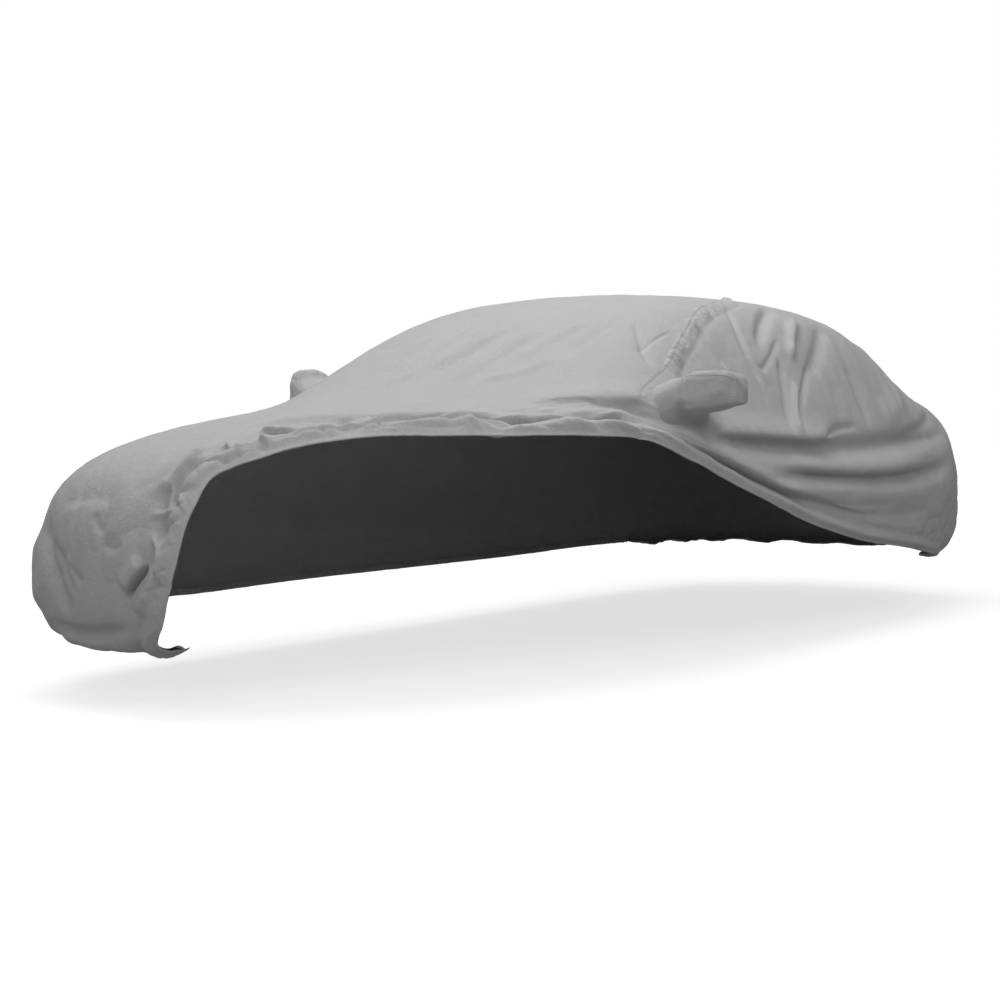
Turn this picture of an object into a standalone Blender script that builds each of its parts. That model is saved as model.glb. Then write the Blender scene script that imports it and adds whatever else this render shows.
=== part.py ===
"""Fitted cover for a full-size saloon, pulled back off the near front wing and door.

Frame: origin where the cover rests on the middle of the roof, +X to the left side of the car,
+Y to its rear, +Z up. The tables below use the ground frame of the car: Y from the front axle,
Z from the ground. Girth runs from -6 at the right hem over the centre line to +6 at the left hem.
"""
from collections import namedtuple

import bpy
import numpy as np
from mathutils.geometry import delaunay_2d_cdt

SHEET = 0.0025          # thickness of the cloth, m
GAP = 0.0003            # between pieces sewn edge to edge, m
CLEARANCE = 0.002       # between the cloth and the roof it rests on, m
REST_Y = 1.90           # roof rest, behind the front axle, m
GRID_STEP = 0.190       # plain cloth, m
EDGE_STEP = 0.075       # along a free edge, m
HEM_STEP = 0.130        # along the hem, m
GIRTH_SCALE = 0.33      # metres per girth step, for laying out the flat mesh
HEM_WAVE = 0.010        # depth of the waves drawn up by the hem, m
HEM_WAVE_LENGTH = 0.31  # m
PUCKER = 0.009          # depth of the puckers along the gathered seam, m
PUCKER_LENGTH = 0.062   # m
PUCKER_BAND = 0.055     # reach of the puckers from the seam, m
POINT_GAP = 0.026       # least space between points of the flat mesh, m
CLOTH = (0.42, 0.42, 0.42, 1.0)

Station = namedtuple(
    "Station",
    "name crown_y crown_z rail_x rail_drop shoulder_x shoulder_drop waist_x waist_drop hem_x hem_y hem_z",
)
STATIONS = [
    Station("front_hem", -0.68, 0.20, 0.42, 0.03, 0.70, 0.22, 0.82, 0.58, 0.88, -0.28, 0.23),
    Station("chin", -0.90, 0.17, 0.42, 0.03, 0.71, 0.22, 0.87, 0.60, 0.93, -0.27, 0.24),
    Station("bumper", -0.95, 0.44, 0.42, 0.03, 0.74, 0.20, 0.89, 0.55, 0.94, -0.24, 0.25),
    Station("grille", -0.92, 0.68, 0.44, 0.02, 0.75, 0.20, 0.91, 0.53, 0.94, -0.15, 0.25),
    Station("nose", -0.78, 0.85, 0.50, 0.03, 0.81, 0.20, 0.95, 0.50, 0.94, -0.05, 0.26),
    Station("bonnet", -0.35, 0.95, 0.54, 0.03, 0.86, 0.18, 0.97, 0.48, 0.94, 0.15, 0.26),
    Station("bonnet_mid", 0.05, 1.00, 0.58, 0.04, 0.88, 0.18, 0.98, 0.48, 0.94, 0.40, 0.26),
    Station("cowl", 0.43, 1.06, 0.64, 0.04, 0.90, 0.18, 0.99, 0.50, 0.94, 0.75, 0.27),
    Station("windscreen", 0.86, 1.30, 0.72, 0.06, 0.90, 0.32, 0.98, 0.60, 0.94, 1.10, 0.27),
    Station("header", 1.35, 1.49, 0.69, 0.05, 0.88, 0.42, 0.98, 0.68, 0.94, 1.50, 0.27),
    Station("roof", 2.00, 1.52, 0.66, 0.05, 0.88, 0.45, 0.98, 0.68, 0.94, 2.05, 0.27),
    Station("roof_rear", 2.72, 1.52, 0.69, 0.05, 0.88, 0.45, 0.98, 0.68, 0.94, 2.60, 0.27),
    Station("backlight", 3.25, 1.43, 0.67, 0.06, 0.88, 0.40, 0.98, 0.64, 0.94, 3.00, 0.28),
    Station("parcel", 3.70, 1.22, 0.64, 0.08, 0.86, 0.30, 0.97, 0.58, 0.94, 3.25, 0.28),
    Station("boot", 4.02, 1.12, 0.65, 0.06, 0.84, 0.24, 0.94, 0.54, 0.93, 3.40, 0.28),
    Station("boot_edge", 4.26, 1.07, 0.62, 0.05, 0.78, 0.22, 0.90, 0.50, 0.92, 3.48, 0.28),
    Station("tail", 4.38, 0.87, 0.55, 0.04, 0.75, 0.20, 0.88, 0.50, 0.91, 3.54, 0.28),
    Station("rear_bumper", 4.40, 0.57, 0.50, 0.04, 0.73, 0.18, 0.87, 0.48, 0.90, 3.58, 0.28),
    Station("rear_chin", 4.34, 0.26, 0.48, 0.03, 0.70, 0.18, 0.82, 0.48, 0.87, 3.58, 0.27),
    Station("rear_hem", 4.12, 0.28, 0.44, 0.03, 0.62, 0.22, 0.74, 0.52, 0.80, 3.58, 0.28),
]
LAST = len(STATIONS) - 1

EdgePoint = namedtuple("EdgePoint", "station girth")
FREE_EDGE = [
    EdgePoint(0.0, -0.30), EdgePoint(1.0, -0.15), EdgePoint(1.5, 0.15), EdgePoint(2.2, 0.46),
    EdgePoint(3.0, 0.60), EdgePoint(3.6, 0.66), EdgePoint(4.0, 1.05), EdgePoint(4.3, 1.32),
    EdgePoint(4.7, 1.75), EdgePoint(5.1, 2.20), EdgePoint(5.5, 2.45), EdgePoint(6.6, 2.87),
    EdgePoint(7.3, 3.20), EdgePoint(8.0, 3.67), EdgePoint(9.0, 4.17), EdgePoint(10.0, 4.80),
    EdgePoint(11.4, 5.40), EdgePoint(14.0, 5.85), EdgePoint(19.0, 6.00),
]
SEAM = [
    EdgePoint(7.15, 3.14), EdgePoint(7.3, 2.85), EdgePoint(7.6, 2.55), EdgePoint(8.0, 2.43),
    EdgePoint(8.2, 2.38), EdgePoint(8.5, 2.22), EdgePoint(8.8, 2.08), EdgePoint(9.1, 1.91),
    EdgePoint(9.4, 1.76), EdgePoint(9.8, 1.56), EdgePoint(10.05, 1.40), EdgePoint(10.4, 1.08),
    EdgePoint(11.0, 0.92), EdgePoint(13.0, 0.92), EdgePoint(16.0, 1.00), EdgePoint(19.0, 1.10),
]
FAR_SEAM_FRONT = [
    EdgePoint(0.0, 4.00), EdgePoint(2.5, 3.90), EdgePoint(4.0, 3.60), EdgePoint(5.5, 3.35),
    EdgePoint(6.8, 3.00), EdgePoint(7.4, 2.66),
]
GATHER_START, GATHER_END = 8.1, 10.2   # stations between which the seam is gathered

EdgeRoll = namedtuple("EdgeRoll", "station width roll groove tuck")
EDGE_ROLLS = [
    EdgeRoll(0.0, 0.050, 0.008, 0.004, 0.006),
    EdgeRoll(2.0, 0.060, 0.014, 0.010, 0.006),
    EdgeRoll(3.2, 0.075, 0.022, 0.026, 0.006),
    EdgeRoll(4.2, 0.085, 0.024, 0.022, 0.005),
    EdgeRoll(5.2, 0.075, 0.030, 0.016, 0.004),
    EdgeRoll(6.8, 0.070, 0.026, 0.014, 0.004),
    EdgeRoll(8.2, 0.055, 0.016, 0.012, 0.006),
    EdgeRoll(10.0, 0.055, 0.012, 0.010, 0.008),
    EdgeRoll(12.0, 0.050, 0.006, 0.004, 0.010),
    EdgeRoll(19.0, 0.050, 0.004, 0.002, 0.012),
]

Fold = namedtuple("Fold", "name path width height lean power")
FOLDS = [
    Fold("mouth_slit", ((2.28, 0.06), (2.04, -0.17), (1.80, -0.46)), 0.030, -0.026, 0.0, 1.5),
    Fold("mouth_lip", ((2.30, 0.10), (1.98, 0.02), (1.60, -0.28)), 0.035, 0.020, 0.0, 2.0),
    Fold("mouth_brow", ((2.50, -0.05), (2.25, -0.35), (1.85, -0.66)), 0.060, 0.014, 0.0, 2.0),
    Fold("front_crease", ((2.75, 0.02), (2.45, 0.12), (2.05, 0.20)), 0.025, 0.012, 0.3, 1.5),
    Fold("corner_crease", ((3.05, -2.75), (2.5, -2.45), (1.9, -2.15), (1.3, -1.9)), 0.05, -0.016, 0.3, 1.6),
    Fold("corner_pad", ((2.9, -3.1), (2.2, -2.95), (1.5, -2.75)), 0.12, 0.020, 0.0, 2.0),
    Fold("cheek_arc", ((2.17, -1.83), (2.08, -1.63), (1.96, -1.47)), 0.040, -0.008, 0.0, 1.6),
    Fold("chin_fold", ((1.25, -2.6), (1.15, -1.6), (1.25, -0.6)), 0.055, 0.016, 0.0, 2.0),
    Fold("chin_tuck", ((0.9, -2.6), (0.85, -1.6), (0.9, -0.5)), 0.060, -0.018, 0.0, 2.0),
    Fold("grille_hollow", ((3.55, 0.12), (3.12, 0.30), (2.75, 0.38)), 0.045, -0.018, 0.0, 2.0),
    Fold("grille_ridge", ((3.8, 0.00), (3.3, 0.08), (2.8, 0.16)), 0.040, 0.014, 0.0, 2.0),
    Fold("nose_sweep", ((3.5, 0.05), (4.1, 0.25), (4.5, 0.60), (4.7, 1.0)), 0.050, 0.016, -0.2, 2.0),
    Fold("bonnet_ridge", ((4.9, -0.3), (5.0, 0.5), (5.3, 1.4), (5.8, 1.95), (6.3, 2.3)),
         0.060, 0.026, -0.2, 1.8),
    Fold("bonnet_pleat", ((4.8, 1.2), (5.2, 1.85), (5.8, 2.3), (6.5, 2.6)), 0.040, -0.020, 0.0, 1.8),
    Fold("wing_pleat", ((5.6, 1.75), (6.2, 2.15), (6.9, 2.45), (7.4, 2.62)), 0.045, 0.020, 0.2, 1.8),
    Fold("wing_trough", ((6.0, 2.3), (6.7, 2.55), (7.3, 2.80)), 0.040, -0.020, 0.0, 1.8),
    Fold("mirror_sweep", ((6.6, 1.85), (7.0, 2.1), (7.35, 2.38), (7.75, 2.62)), 0.06, 0.018, 0.3, 2.0),
    Fold("mirror_trough", ((7.0, 2.28), (7.3, 2.50), (7.6, 2.90), (7.9, 3.08)), 0.045, -0.020, 0.0, 1.8),
    Fold("screen_1", ((7.35, -0.62), (7.8, -0.50), (8.25, -0.38)), 0.035, 0.010, 0.4, 1.5),
    Fold("screen_2", ((7.3, -0.15), (7.8, -0.20), (8.35, -0.22)), 0.035, 0.010, 0.4, 1.5),
    Fold("screen_3", ((6.9, -0.45), (7.35, -0.05), (8.25, 0.22)), 0.050, 0.016, 0.4, 1.6),
    Fold("screen_4", ((6.95, 0.50), (7.5, 0.57), (8.15, 0.68)), 0.050, 0.016, 0.4, 1.6),
    Fold("screen_5", ((7.3, 1.07), (7.9, 0.90), (8.40, 0.72)), 0.055, 0.010, 0.3, 2.0),
    Fold("screen_6", ((7.55, 1.25), (8.1, 1.32), (8.50, 1.05)), 0.055, 0.011, 0.3, 2.0),
    Fold("pillar_v", ((8.50, 1.55), (8.15, 1.95), (8.05, 2.35)), 0.040, -0.012, 0.2, 1.5),
    Fold("pillar_rise", ((7.9, 1.8), (8.15, 1.72), (8.40, 1.60)), 0.050, 0.009, 0.0, 2.0),
    Fold("glass_1", ((9.02, 2.00), (9.02, 2.30), (9.10, 2.62)), 0.040, -0.012, -0.3, 1.5),
    Fold("glass_2", ((9.95, 1.52), (9.55, 2.28), (9.50, 2.80)), 0.040, -0.014, -0.3, 1.5),
    Fold("glass_v", ((9.80, 2.10), (9.60, 2.48), (9.95, 2.45)), 0.050, -0.013, 0.0, 1.8),
    Fold("glass_3", ((10.3, 1.80), (9.95, 2.50), (9.70, 3.10)), 0.060, 0.018, 0.0, 2.0),
    Fold("glass_4", ((10.7, 1.90), (10.3, 2.45), (9.95, 3.15)), 0.065, -0.015, 0.0, 2.0),
    Fold("pillar_soft", ((12.5, 2.3), (12.1, 2.8), (11.4, 3.15)), 0.090, 0.010, 0.0, 2.0),
    Fold("swag_ridge", ((7.9, 3.05), (8.6, 3.16), (9.6, 3.22), (10.6, 3.26)), 0.050, 0.014, 0.0, 2.0),
    Fold("swag_1", ((7.75, 3.05), (8.2, 3.27), (9.4, 3.42), (11.0, 3.48), (12.8, 3.35), (14.3, 2.95)),
         0.060, -0.022, 0.2, 1.8),
    Fold("swag_1_lip", ((8.4, 3.5), (9.6, 3.62), (11.2, 3.70), (13.0, 3.62)), 0.080, 0.012, 0.0, 2.0),
    Fold("swag_2", ((8.8, 3.68), (9.6, 3.83), (10.8, 4.02), (12.0, 4.08), (13.2, 3.90), (14.4, 3.6)),
         0.060, -0.020, 0.2, 1.8),
    Fold("edge_pleat", ((7.5, 3.10), (8.3, 3.52), (9.2, 3.98), (10.2, 4.45), (11.2, 4.82)),
         0.050, -0.018, -0.2, 1.8),
    Fold("edge_rise", ((7.4, 2.95), (8.2, 3.36), (9.0, 3.74), (9.9, 4.15)), 0.055, 0.016, 0.0, 2.0),
    Fold("rear_quarter", ((14.2, 2.5), (14.0, 3.0), (13.0, 3.4)), 0.070, -0.012, 0.0, 2.0),
    Fold("far_wing", ((5.5, -3.5), (6.8, -3.7), (8.2, -3.6)), 0.080, -0.012, 0.0, 2.0),
    Fold("far_side", ((8.6, -3.5), (10.5, -3.7), (12.5, -3.6), (14.0, -3.2)), 0.090, -0.016, 0.0, 2.0),
    Fold("far_skirt", ((6.0, -4.7), (9.0, -4.9), (12.0, -4.7)), 0.100, -0.014, 0.0, 2.0),
    Fold("tail_fold", ((16.0, -1.6), (16.3, 0.0), (16.0, 1.8)), 0.090, -0.012, 0.0, 2.0),
]

PocketSection = namedtuple("PocketSection", "x y_front y_back z_low z_high")
POCKET_SECTIONS = [
    PocketSection(0.915, 0.812, 1.092, 0.962, 1.112),
    PocketSection(0.950, 0.810, 1.080, 0.972, 1.126),
    PocketSection(0.995, 0.866, 1.092, 0.984, 1.131),
    PocketSection(1.035, 0.940, 1.106, 1.000, 1.127),
    PocketSection(1.058, 1.000, 1.108, 1.008, 1.110),
    PocketSection(1.066, 1.030, 1.092, 1.015, 1.085),
]
POCKET_MOUTH = (8.08, 2.80)      # middle of the mouth: station, girth
POCKET_REACH = (0.36, 0.27)      # half size of the mouth: stations, girth
POCKET_POINTS = 20               # round the mouth
FAR_POCKET_RISE = 0.042          # the right pocket's top rides higher than the left one's, m
FAR_POCKET_DROP = 0.016          # and its underside hangs lower, clear of the mirror arm, m
POCKET_SQUARE = 3.1              # 2 is an ellipse, more is squarer


def control_cage():
    """Control points, one row a station and 13 across, with one more all round."""
    rows = []
    for s in STATIONS:
        skirt_x = 0.6 * s.waist_x + 0.4 * s.hem_x
        half = [
            (0.0, 0.0), (0.55 * s.rail_x, 0.25 * s.rail_drop), (s.rail_x, s.rail_drop),
            (s.shoulder_x, s.shoulder_drop), (s.waist_x, s.waist_drop),
            (skirt_x, 0.45 * s.waist_drop + 0.55), (s.hem_x, 1.0),
        ]
        left = [
            (x, s.crown_y + (s.hem_y - s.crown_y) * drop, s.crown_z + (s.hem_z - s.crown_z) * drop)
            for x, drop in half
        ]
        right = [(-x, y, z) for x, y, z in left[:0:-1]]
        rows.append(right + left)
    cage = np.array(rows)
    cage = np.concatenate([2 * cage[:, :1] - cage[:, 1:2], cage, 2 * cage[:, -1:] - cage[:, -2:-1]], 1)
    return np.concatenate([2 * cage[:1] - cage[1:2], cage, 2 * cage[-1:] - cage[-2:-1]])


CAGE = control_cage()


def spline_weights(t, count):
    i = np.clip(np.floor(t).astype(int), 0, count - 2)
    f = t - i
    second = (3 * f**3 - 6 * f**2 + 4) / 6
    third = (-3 * f**3 + 3 * f**2 + 3 * f + 1) / 6
    return i, ((1 - f) ** 3 / 6, second, third, f**3 / 6)


def smooth_surface(uv):
    """The cover with no fold in it, in the ground frame, for rows of (station, girth)."""
    i, along = spline_weights(uv[:, 0], CAGE.shape[0] - 2)
    j, across = spline_weights(uv[:, 1] + 6.0, CAGE.shape[1] - 2)
    points = np.zeros((len(uv), 3))
    for a in range(4):
        for b in range(4):
            points += (along[a] * across[b])[:, None] * CAGE[i + a, j + b]
    return points


def normals_of(surface, uv):
    """Unit normals out of a surface function, by small steps along both directions."""
    step = 0.01
    low = np.array([0.0, -6.0])
    high = np.array([float(LAST), 6.0])
    du = np.array([step, 0.0])
    dv = np.array([0.0, step])
    across_u = surface(np.clip(uv + du, low, high)) - surface(np.clip(uv - du, low, high))
    across_v = surface(np.clip(uv + dv, low, high)) - surface(np.clip(uv - dv, low, high))
    normal = np.cross(across_v, across_u)
    return normal / np.linalg.norm(normal, axis=1, keepdims=True)


def curve(points, count):
    """Rounded path through a few points, as rows of (station, girth)."""
    keys = np.array([tuple(p) for p in points], float)
    ends = np.concatenate([2 * keys[:1] - keys[1:2], keys, 2 * keys[-1:] - keys[-2:-1]])
    t = np.linspace(0, len(keys) - 1, count)
    i = np.minimum(t.astype(int), len(keys) - 2)
    f = (t - i)[:, None]
    a, b, c, d = ends[i], ends[i + 1], ends[i + 2], ends[i + 3]
    squared, cubed = 2 * a - 5 * b + 4 * c - d, 3 * b - 3 * c + d - a
    return 0.5 * (2 * b + (c - a) * f + squared * f**2 + cubed * f**3)


def distance_to(points, normals, path):
    """(distance, side, share along the path) of each point from a path in space."""
    start, end = path[:-1], path[1:]
    step = end - start
    length = np.linalg.norm(step, axis=1)
    run = np.concatenate([[0], np.cumsum(length)])
    best = np.full(len(points), np.inf)
    side = np.zeros(len(points))
    share = np.zeros(len(points))
    for k in range(len(step)):
        offset = points - start[k]
        t = np.clip(offset @ step[k] / length[k] ** 2, 0, 1)
        away = offset - t[:, None] * step[k]
        distance = np.linalg.norm(away, axis=1)
        nearer = distance < best
        best[nearer] = distance[nearer]
        turn = np.einsum("ij,ij->i", np.cross(normals, step[k]), away)
        side[nearer] = np.sign(turn)[nearer]
        share[nearer] = ((run[k] + t * length[k]) / run[-1])[nearer]
    return best, side, share


def table_at(rows, station, column):
    return np.interp(station, [row.station for row in rows], [getattr(row, column) for row in rows])


EDGE_UV = curve(FREE_EDGE, 150)
EDGE_UV[:, 0] = np.clip(EDGE_UV[:, 0], 0, LAST)
EDGE_UV[:, 1] = np.clip(EDGE_UV[:, 1], -6, 6)
EDGE_PATH = smooth_surface(EDGE_UV)
SEAM_UV = curve(SEAM, 140)
SEAM_PATH = smooth_surface(SEAM_UV)


def smoothstep(x):
    x = np.clip(x, 0, 1)
    return x * x * (3 - 2 * x)


def fold_height(uv, points, normals):
    """How far the folds lift each point off the smooth cover."""
    height = np.zeros(len(uv))
    for fold in FOLDS:
        path_uv = curve(fold.path, 14)
        distance, side, share = distance_to(points, normals, smooth_surface(path_uv))
        width = fold.width * (1 + fold.lean * side)
        ends = smoothstep(share / 0.25) * smoothstep((1 - share) / 0.25)
        height += fold.height * np.exp(-((distance / width) ** fold.power)) * ends
    return height


def edge_height(points, normals):
    """The roll, groove and tucked lip along the free edge."""
    distance, _, share = distance_to(points, normals, EDGE_PATH)
    station = np.interp(share, np.linspace(0, 1, len(EDGE_UV)), EDGE_UV[:, 0])
    run = share * np.linalg.norm(np.diff(EDGE_PATH, axis=0), axis=1).sum()
    uneven = 1 + 0.30 * np.sin(run / 0.31) * np.sin(run / 0.17 + 1.1) + 0.15 * np.sin(run / 0.08)
    width = table_at(EDGE_ROLLS, station, "width")
    share_of_width = distance / width
    roll = table_at(EDGE_ROLLS, station, "roll") * np.exp(-(((share_of_width - 0.5) / 0.40) ** 2))
    groove = table_at(EDGE_ROLLS, station, "groove") * np.exp(-(((share_of_width - 1.25) / 0.35) ** 2))
    tuck = table_at(EDGE_ROLLS, station, "tuck") * np.exp(-((share_of_width / 0.30) ** 2))
    return (roll - groove) * uneven - tuck


def hem_height(uv, points):
    """Waves that the drawn-up hem puts into the cloth above it."""
    skirt = np.clip((np.abs(uv[:, 1]) - 5.0) / 1.0, 0, 1) * np.clip((uv[:, 0] - 0.3) / 2.0, 0, 1)
    ends = np.clip(np.maximum(1.0 - uv[:, 0], uv[:, 0] - LAST + 1.0), 0, 1)
    band = np.maximum(skirt, ends)
    along = points[:, 0] + points[:, 1]
    wave = np.sin(2 * np.pi * along / HEM_WAVE_LENGTH) + 0.5 * np.sin(2 * np.pi * along / 0.47 + 0.8)
    return HEM_WAVE * 0.7 * wave * smoothstep(band)


def pucker_height(points, normals):
    """Puckers across the gathered seam over the windscreen pillar."""
    distance, _, share = distance_to(points, normals, SEAM_PATH)
    station = np.interp(share, np.linspace(0, 1, len(SEAM_UV)), SEAM_UV[:, 0])
    run = share * np.linalg.norm(np.diff(SEAM_PATH, axis=0), axis=1).sum()
    gathered = smoothstep((station - GATHER_START) / 0.2) * smoothstep((GATHER_END - station) / 0.2)
    reach = np.where(points[:, 2] < np.interp(points[:, 1], [0.9, 2.0], [1.12, 1.48]), 1.0, 0.6)
    wave = np.sin(2 * np.pi * run / PUCKER_LENGTH) * (1 + 0.35 * np.sin(run / 0.21))
    bulge = 0.008 * np.exp(-(((distance - 0.03) / 0.02) ** 2)) - 0.006 * np.exp(-((distance / 0.012) ** 2))
    ripple = PUCKER * wave * np.exp(-((distance / (PUCKER_BAND * reach)) ** 2))
    return (ripple + bulge) * gathered


def cover_surface(uv):
    """The folded outside of the cover in the ground frame."""
    points = smooth_surface(uv)
    normals = normals_of(smooth_surface, uv)
    height = fold_height(uv, points, normals) + edge_height(points, normals)
    height += hem_height(uv, points) + pucker_height(points, normals)
    return points + normals * height[:, None]


def roof_rest():
    """The point of the roof that the inside of the cover rests on."""
    stations = np.linspace(8.0, 12.0, 801)
    crown = smooth_surface(np.column_stack([stations, np.zeros(801)]))
    z = np.interp(REST_Y, crown[:, 1], crown[:, 2])
    return np.array([0.0, REST_Y, z - SHEET - CLEARANCE])


ORIGIN = roof_rest()


def flat(uv):
    """(station, girth) rows laid out flat, in metres."""
    stations = np.linspace(0, LAST, 40 * LAST + 1)
    crown = smooth_surface(np.column_stack([stations, np.zeros(len(stations))]))
    run = np.concatenate([[0], np.cumsum(np.linalg.norm(np.diff(crown, axis=0), axis=1))])
    return np.column_stack([np.interp(uv[:, 0], stations, run), uv[:, 1] * GIRTH_SCALE])


def even(uv, step):
    """The same path with points a step apart in space."""
    path = smooth_surface(uv)
    run = np.concatenate([[0], np.cumsum(np.linalg.norm(np.diff(path, axis=0), axis=1))])
    at = np.linspace(0, run[-1], max(2, int(round(run[-1] / step)) + 1))
    return np.column_stack([np.interp(at, run, uv[:, 0]), np.interp(at, run, uv[:, 1])])


def edge_girth(station):
    return np.interp(station, EDGE_UV[:, 0], EDGE_UV[:, 1])


def near_seam():
    """The left seam, closely spaced where it is gathered."""
    dense = curve(SEAM, 400)
    dense[0, 1] = edge_girth(dense[0, 0])
    before = even(dense[dense[:, 0] <= GATHER_START], 0.07)
    between = even(dense[(dense[:, 0] > GATHER_START) & (dense[:, 0] < GATHER_END)], PUCKER_LENGTH / 2)
    after = even(dense[dense[:, 0] >= GATHER_END], 0.15)
    return np.concatenate([before, between, after])


def far_seam():
    """The right seam, from the front hem to the rear hem."""
    front = curve(FAR_SEAM_FRONT, 100)
    rear = curve(SEAM[3:], 200)
    return even(np.concatenate([front, rear]) * (1.0, -1.0), 0.13)


def mouth_loop(side):
    angle = np.linspace(0, 2 * np.pi, POCKET_POINTS, endpoint=False)
    power = 2 / POCKET_SQUARE
    c, s = np.cos(angle), np.sin(angle)
    u = POCKET_MOUTH[0] + POCKET_REACH[0] * np.sign(c) * np.abs(c) ** power
    v = POCKET_MOUTH[1] + POCKET_REACH[1] * np.sign(s) * np.abs(s) ** power
    return np.column_stack([u, side * v])


def line(start, end, step):
    return even(np.linspace(start, end, 40), step)


def inside(points, loop):
    """Whether each flat point lies inside a closed flat loop."""
    found = np.zeros(len(points), bool)
    for a, b in zip(loop, np.roll(loop, -1, axis=0)):
        crosses = (a[1] > points[:, 1]) != (b[1] > points[:, 1])
        span = b[1] - a[1] if b[1] != a[1] else 1.0
        x = a[0] + (points[:, 1] - a[1]) / span * (b[0] - a[0])
        found ^= crosses & (points[:, 0] < x)
    return found


def beside(path_uv, step, shifts):
    """Rows of points along a path and at some distances to its sides, as (station, girth)."""
    rows = []
    base = even(path_uv, step)
    here = flat(base)
    ahead = np.gradient(here, axis=0)
    ahead /= np.linalg.norm(ahead, axis=1, keepdims=True)
    stations = np.linspace(0, LAST, 400)
    run = flat(np.column_stack([stations, np.zeros(400)]))[:, 0]
    for shift in shifts:
        moved = here + shift * np.column_stack([-ahead[:, 1], ahead[:, 0]])
        rows.append(np.column_stack([np.interp(moved[:, 0], run, stations), moved[:, 1] / GIRTH_SCALE]))
    return rows


def inner_points(low, high):
    """Points that carry the folds first, then an even grid."""
    groups = []
    reach = EDGE_UV[:, 0] < 13.0
    groups += beside(EDGE_UV[reach], EDGE_STEP, (-0.035, -0.075, -0.115))
    gathered = (SEAM_UV[:, 0] > GATHER_START) & (SEAM_UV[:, 0] < GATHER_END)
    groups += beside(SEAM_UV[gathered], PUCKER_LENGTH / 2, (0.035, -0.035))
    for fold in FOLDS:
        path = curve(fold.path, 30)
        aside = 1.3 * fold.width
        groups += beside(path, max(0.075, 1.6 * fold.width), (0.0,))
        groups += beside(path, max(0.085, 1.8 * fold.width), (-aside, aside))
    hem = np.column_stack([np.linspace(0.9, LAST - 0.9, 200), np.full(200, -5.72)])
    groups += [even(hem, HEM_STEP), line((0.45, -5.7), (0.45, -0.4), HEM_STEP)]
    groups += [line((LAST - 0.4, -5.8), (LAST - 0.4, 5.8), HEM_STEP)]
    rows = np.arange(0, LAST, 0.02)
    run = flat(np.column_stack([rows, np.zeros(len(rows))]))[:, 0]
    for k, a in enumerate(np.arange(0.09, run[-1], GRID_STEP * 0.866)):
        b = np.arange(-6, 6, GRID_STEP / GIRTH_SCALE) + (k % 2) * 0.5 * GRID_STEP / GIRTH_SCALE
        groups.append(np.column_stack([np.full(len(b), np.interp(a, run, rows)), b]))
    found = np.concatenate(groups)
    keep = (found[:, 0] > 0.02) & (found[:, 0] < LAST - 0.02) & (found[:, 1] > low) & (found[:, 1] < high)
    return found[keep]


def thin_out(fixed_uv, loose_uv, loops):
    """Loose points far enough from the outline and from each other."""
    fixed = smooth_surface(fixed_uv)
    loose = smooth_surface(loose_uv)
    within = inside(flat(loose_uv), loops[0])
    for hole in loops[1:]:
        within &= ~inside(flat(loose_uv), hole)
    chosen = []
    for k in np.nonzero(within)[0]:
        others = np.concatenate([fixed, loose[chosen]]) if chosen else fixed
        if np.linalg.norm(others - loose[k], axis=1).min() > POINT_GAP:
            chosen.append(k)
    return loose_uv[chosen]


def panel_mesh(outline_uv, holes_uv, name):
    """Triangles over the flat outline, as (rows of (station, girth), triangles, loop sizes)."""
    loops = [flat(outline_uv)] + [flat(hole) for hole in holes_uv]
    border = np.concatenate([outline_uv] + list(holes_uv))
    low, high = outline_uv[:, 1].min(), outline_uv[:, 1].max()
    uv = np.concatenate([border, thin_out(border, inner_points(low, high), loops)])
    edges = []
    start = 0
    for loop in loops:
        size = len(loop)
        edges += [(start + k, start + (k + 1) % size) for k in range(size)]
        start += size
    flat_points = flat(uv)
    found = delaunay_2d_cdt([tuple(p) for p in flat_points], edges, [], 0, 1e-7)
    if len(found[0]) != len(uv):
        raise ValueError(f"{name}: the outline crosses itself")
    triangles = np.array([face for face in found[2]])
    order = np.array([origins[0] for origins in found[3]])
    triangles = order[triangles]
    middle = flat_points[triangles].mean(axis=1)
    keep = inside(middle, loops[0])
    for hole in loops[1:]:
        keep &= ~inside(middle, hole)
    triangles = triangles[keep]
    a, b, c = (flat_points[triangles[:, k]] for k in range(3))
    area = (b[:, 0] - a[:, 0]) * (c[:, 1] - a[:, 1]) - (b[:, 1] - a[:, 1]) * (c[:, 0] - a[:, 0])
    triangles[area > 0] = triangles[area > 0][:, ::-1]
    return uv, triangles, [len(loop) for loop in loops]


def inset(points, normals, loop, amount):
    """Moves the points of a closed loop sideways in the cloth, to the left of its run."""
    here = points[loop]
    before = here - np.roll(here, 1, axis=0)
    after = np.roll(here, -1, axis=0) - here
    asides = []
    for ahead in (before, after):
        aside = np.cross(normals[loop], ahead)
        asides.append(aside / np.linalg.norm(aside, axis=1, keepdims=True))
    spread = 1 + np.einsum("ij,ij->i", asides[0], asides[1])
    points[loop] += amount * (asides[0] + asides[1]) / np.maximum(spread, 0.25)[:, None]


def mesh_normals(points, triangles):
    normal = np.zeros_like(points)
    a, b, c = (points[triangles[:, k]] for k in range(3))
    face = np.cross(b - a, c - a)
    for k in range(3):
        np.add.at(normal, triangles[:, k], face)
    return normal / np.linalg.norm(normal, axis=1, keepdims=True)


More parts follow.
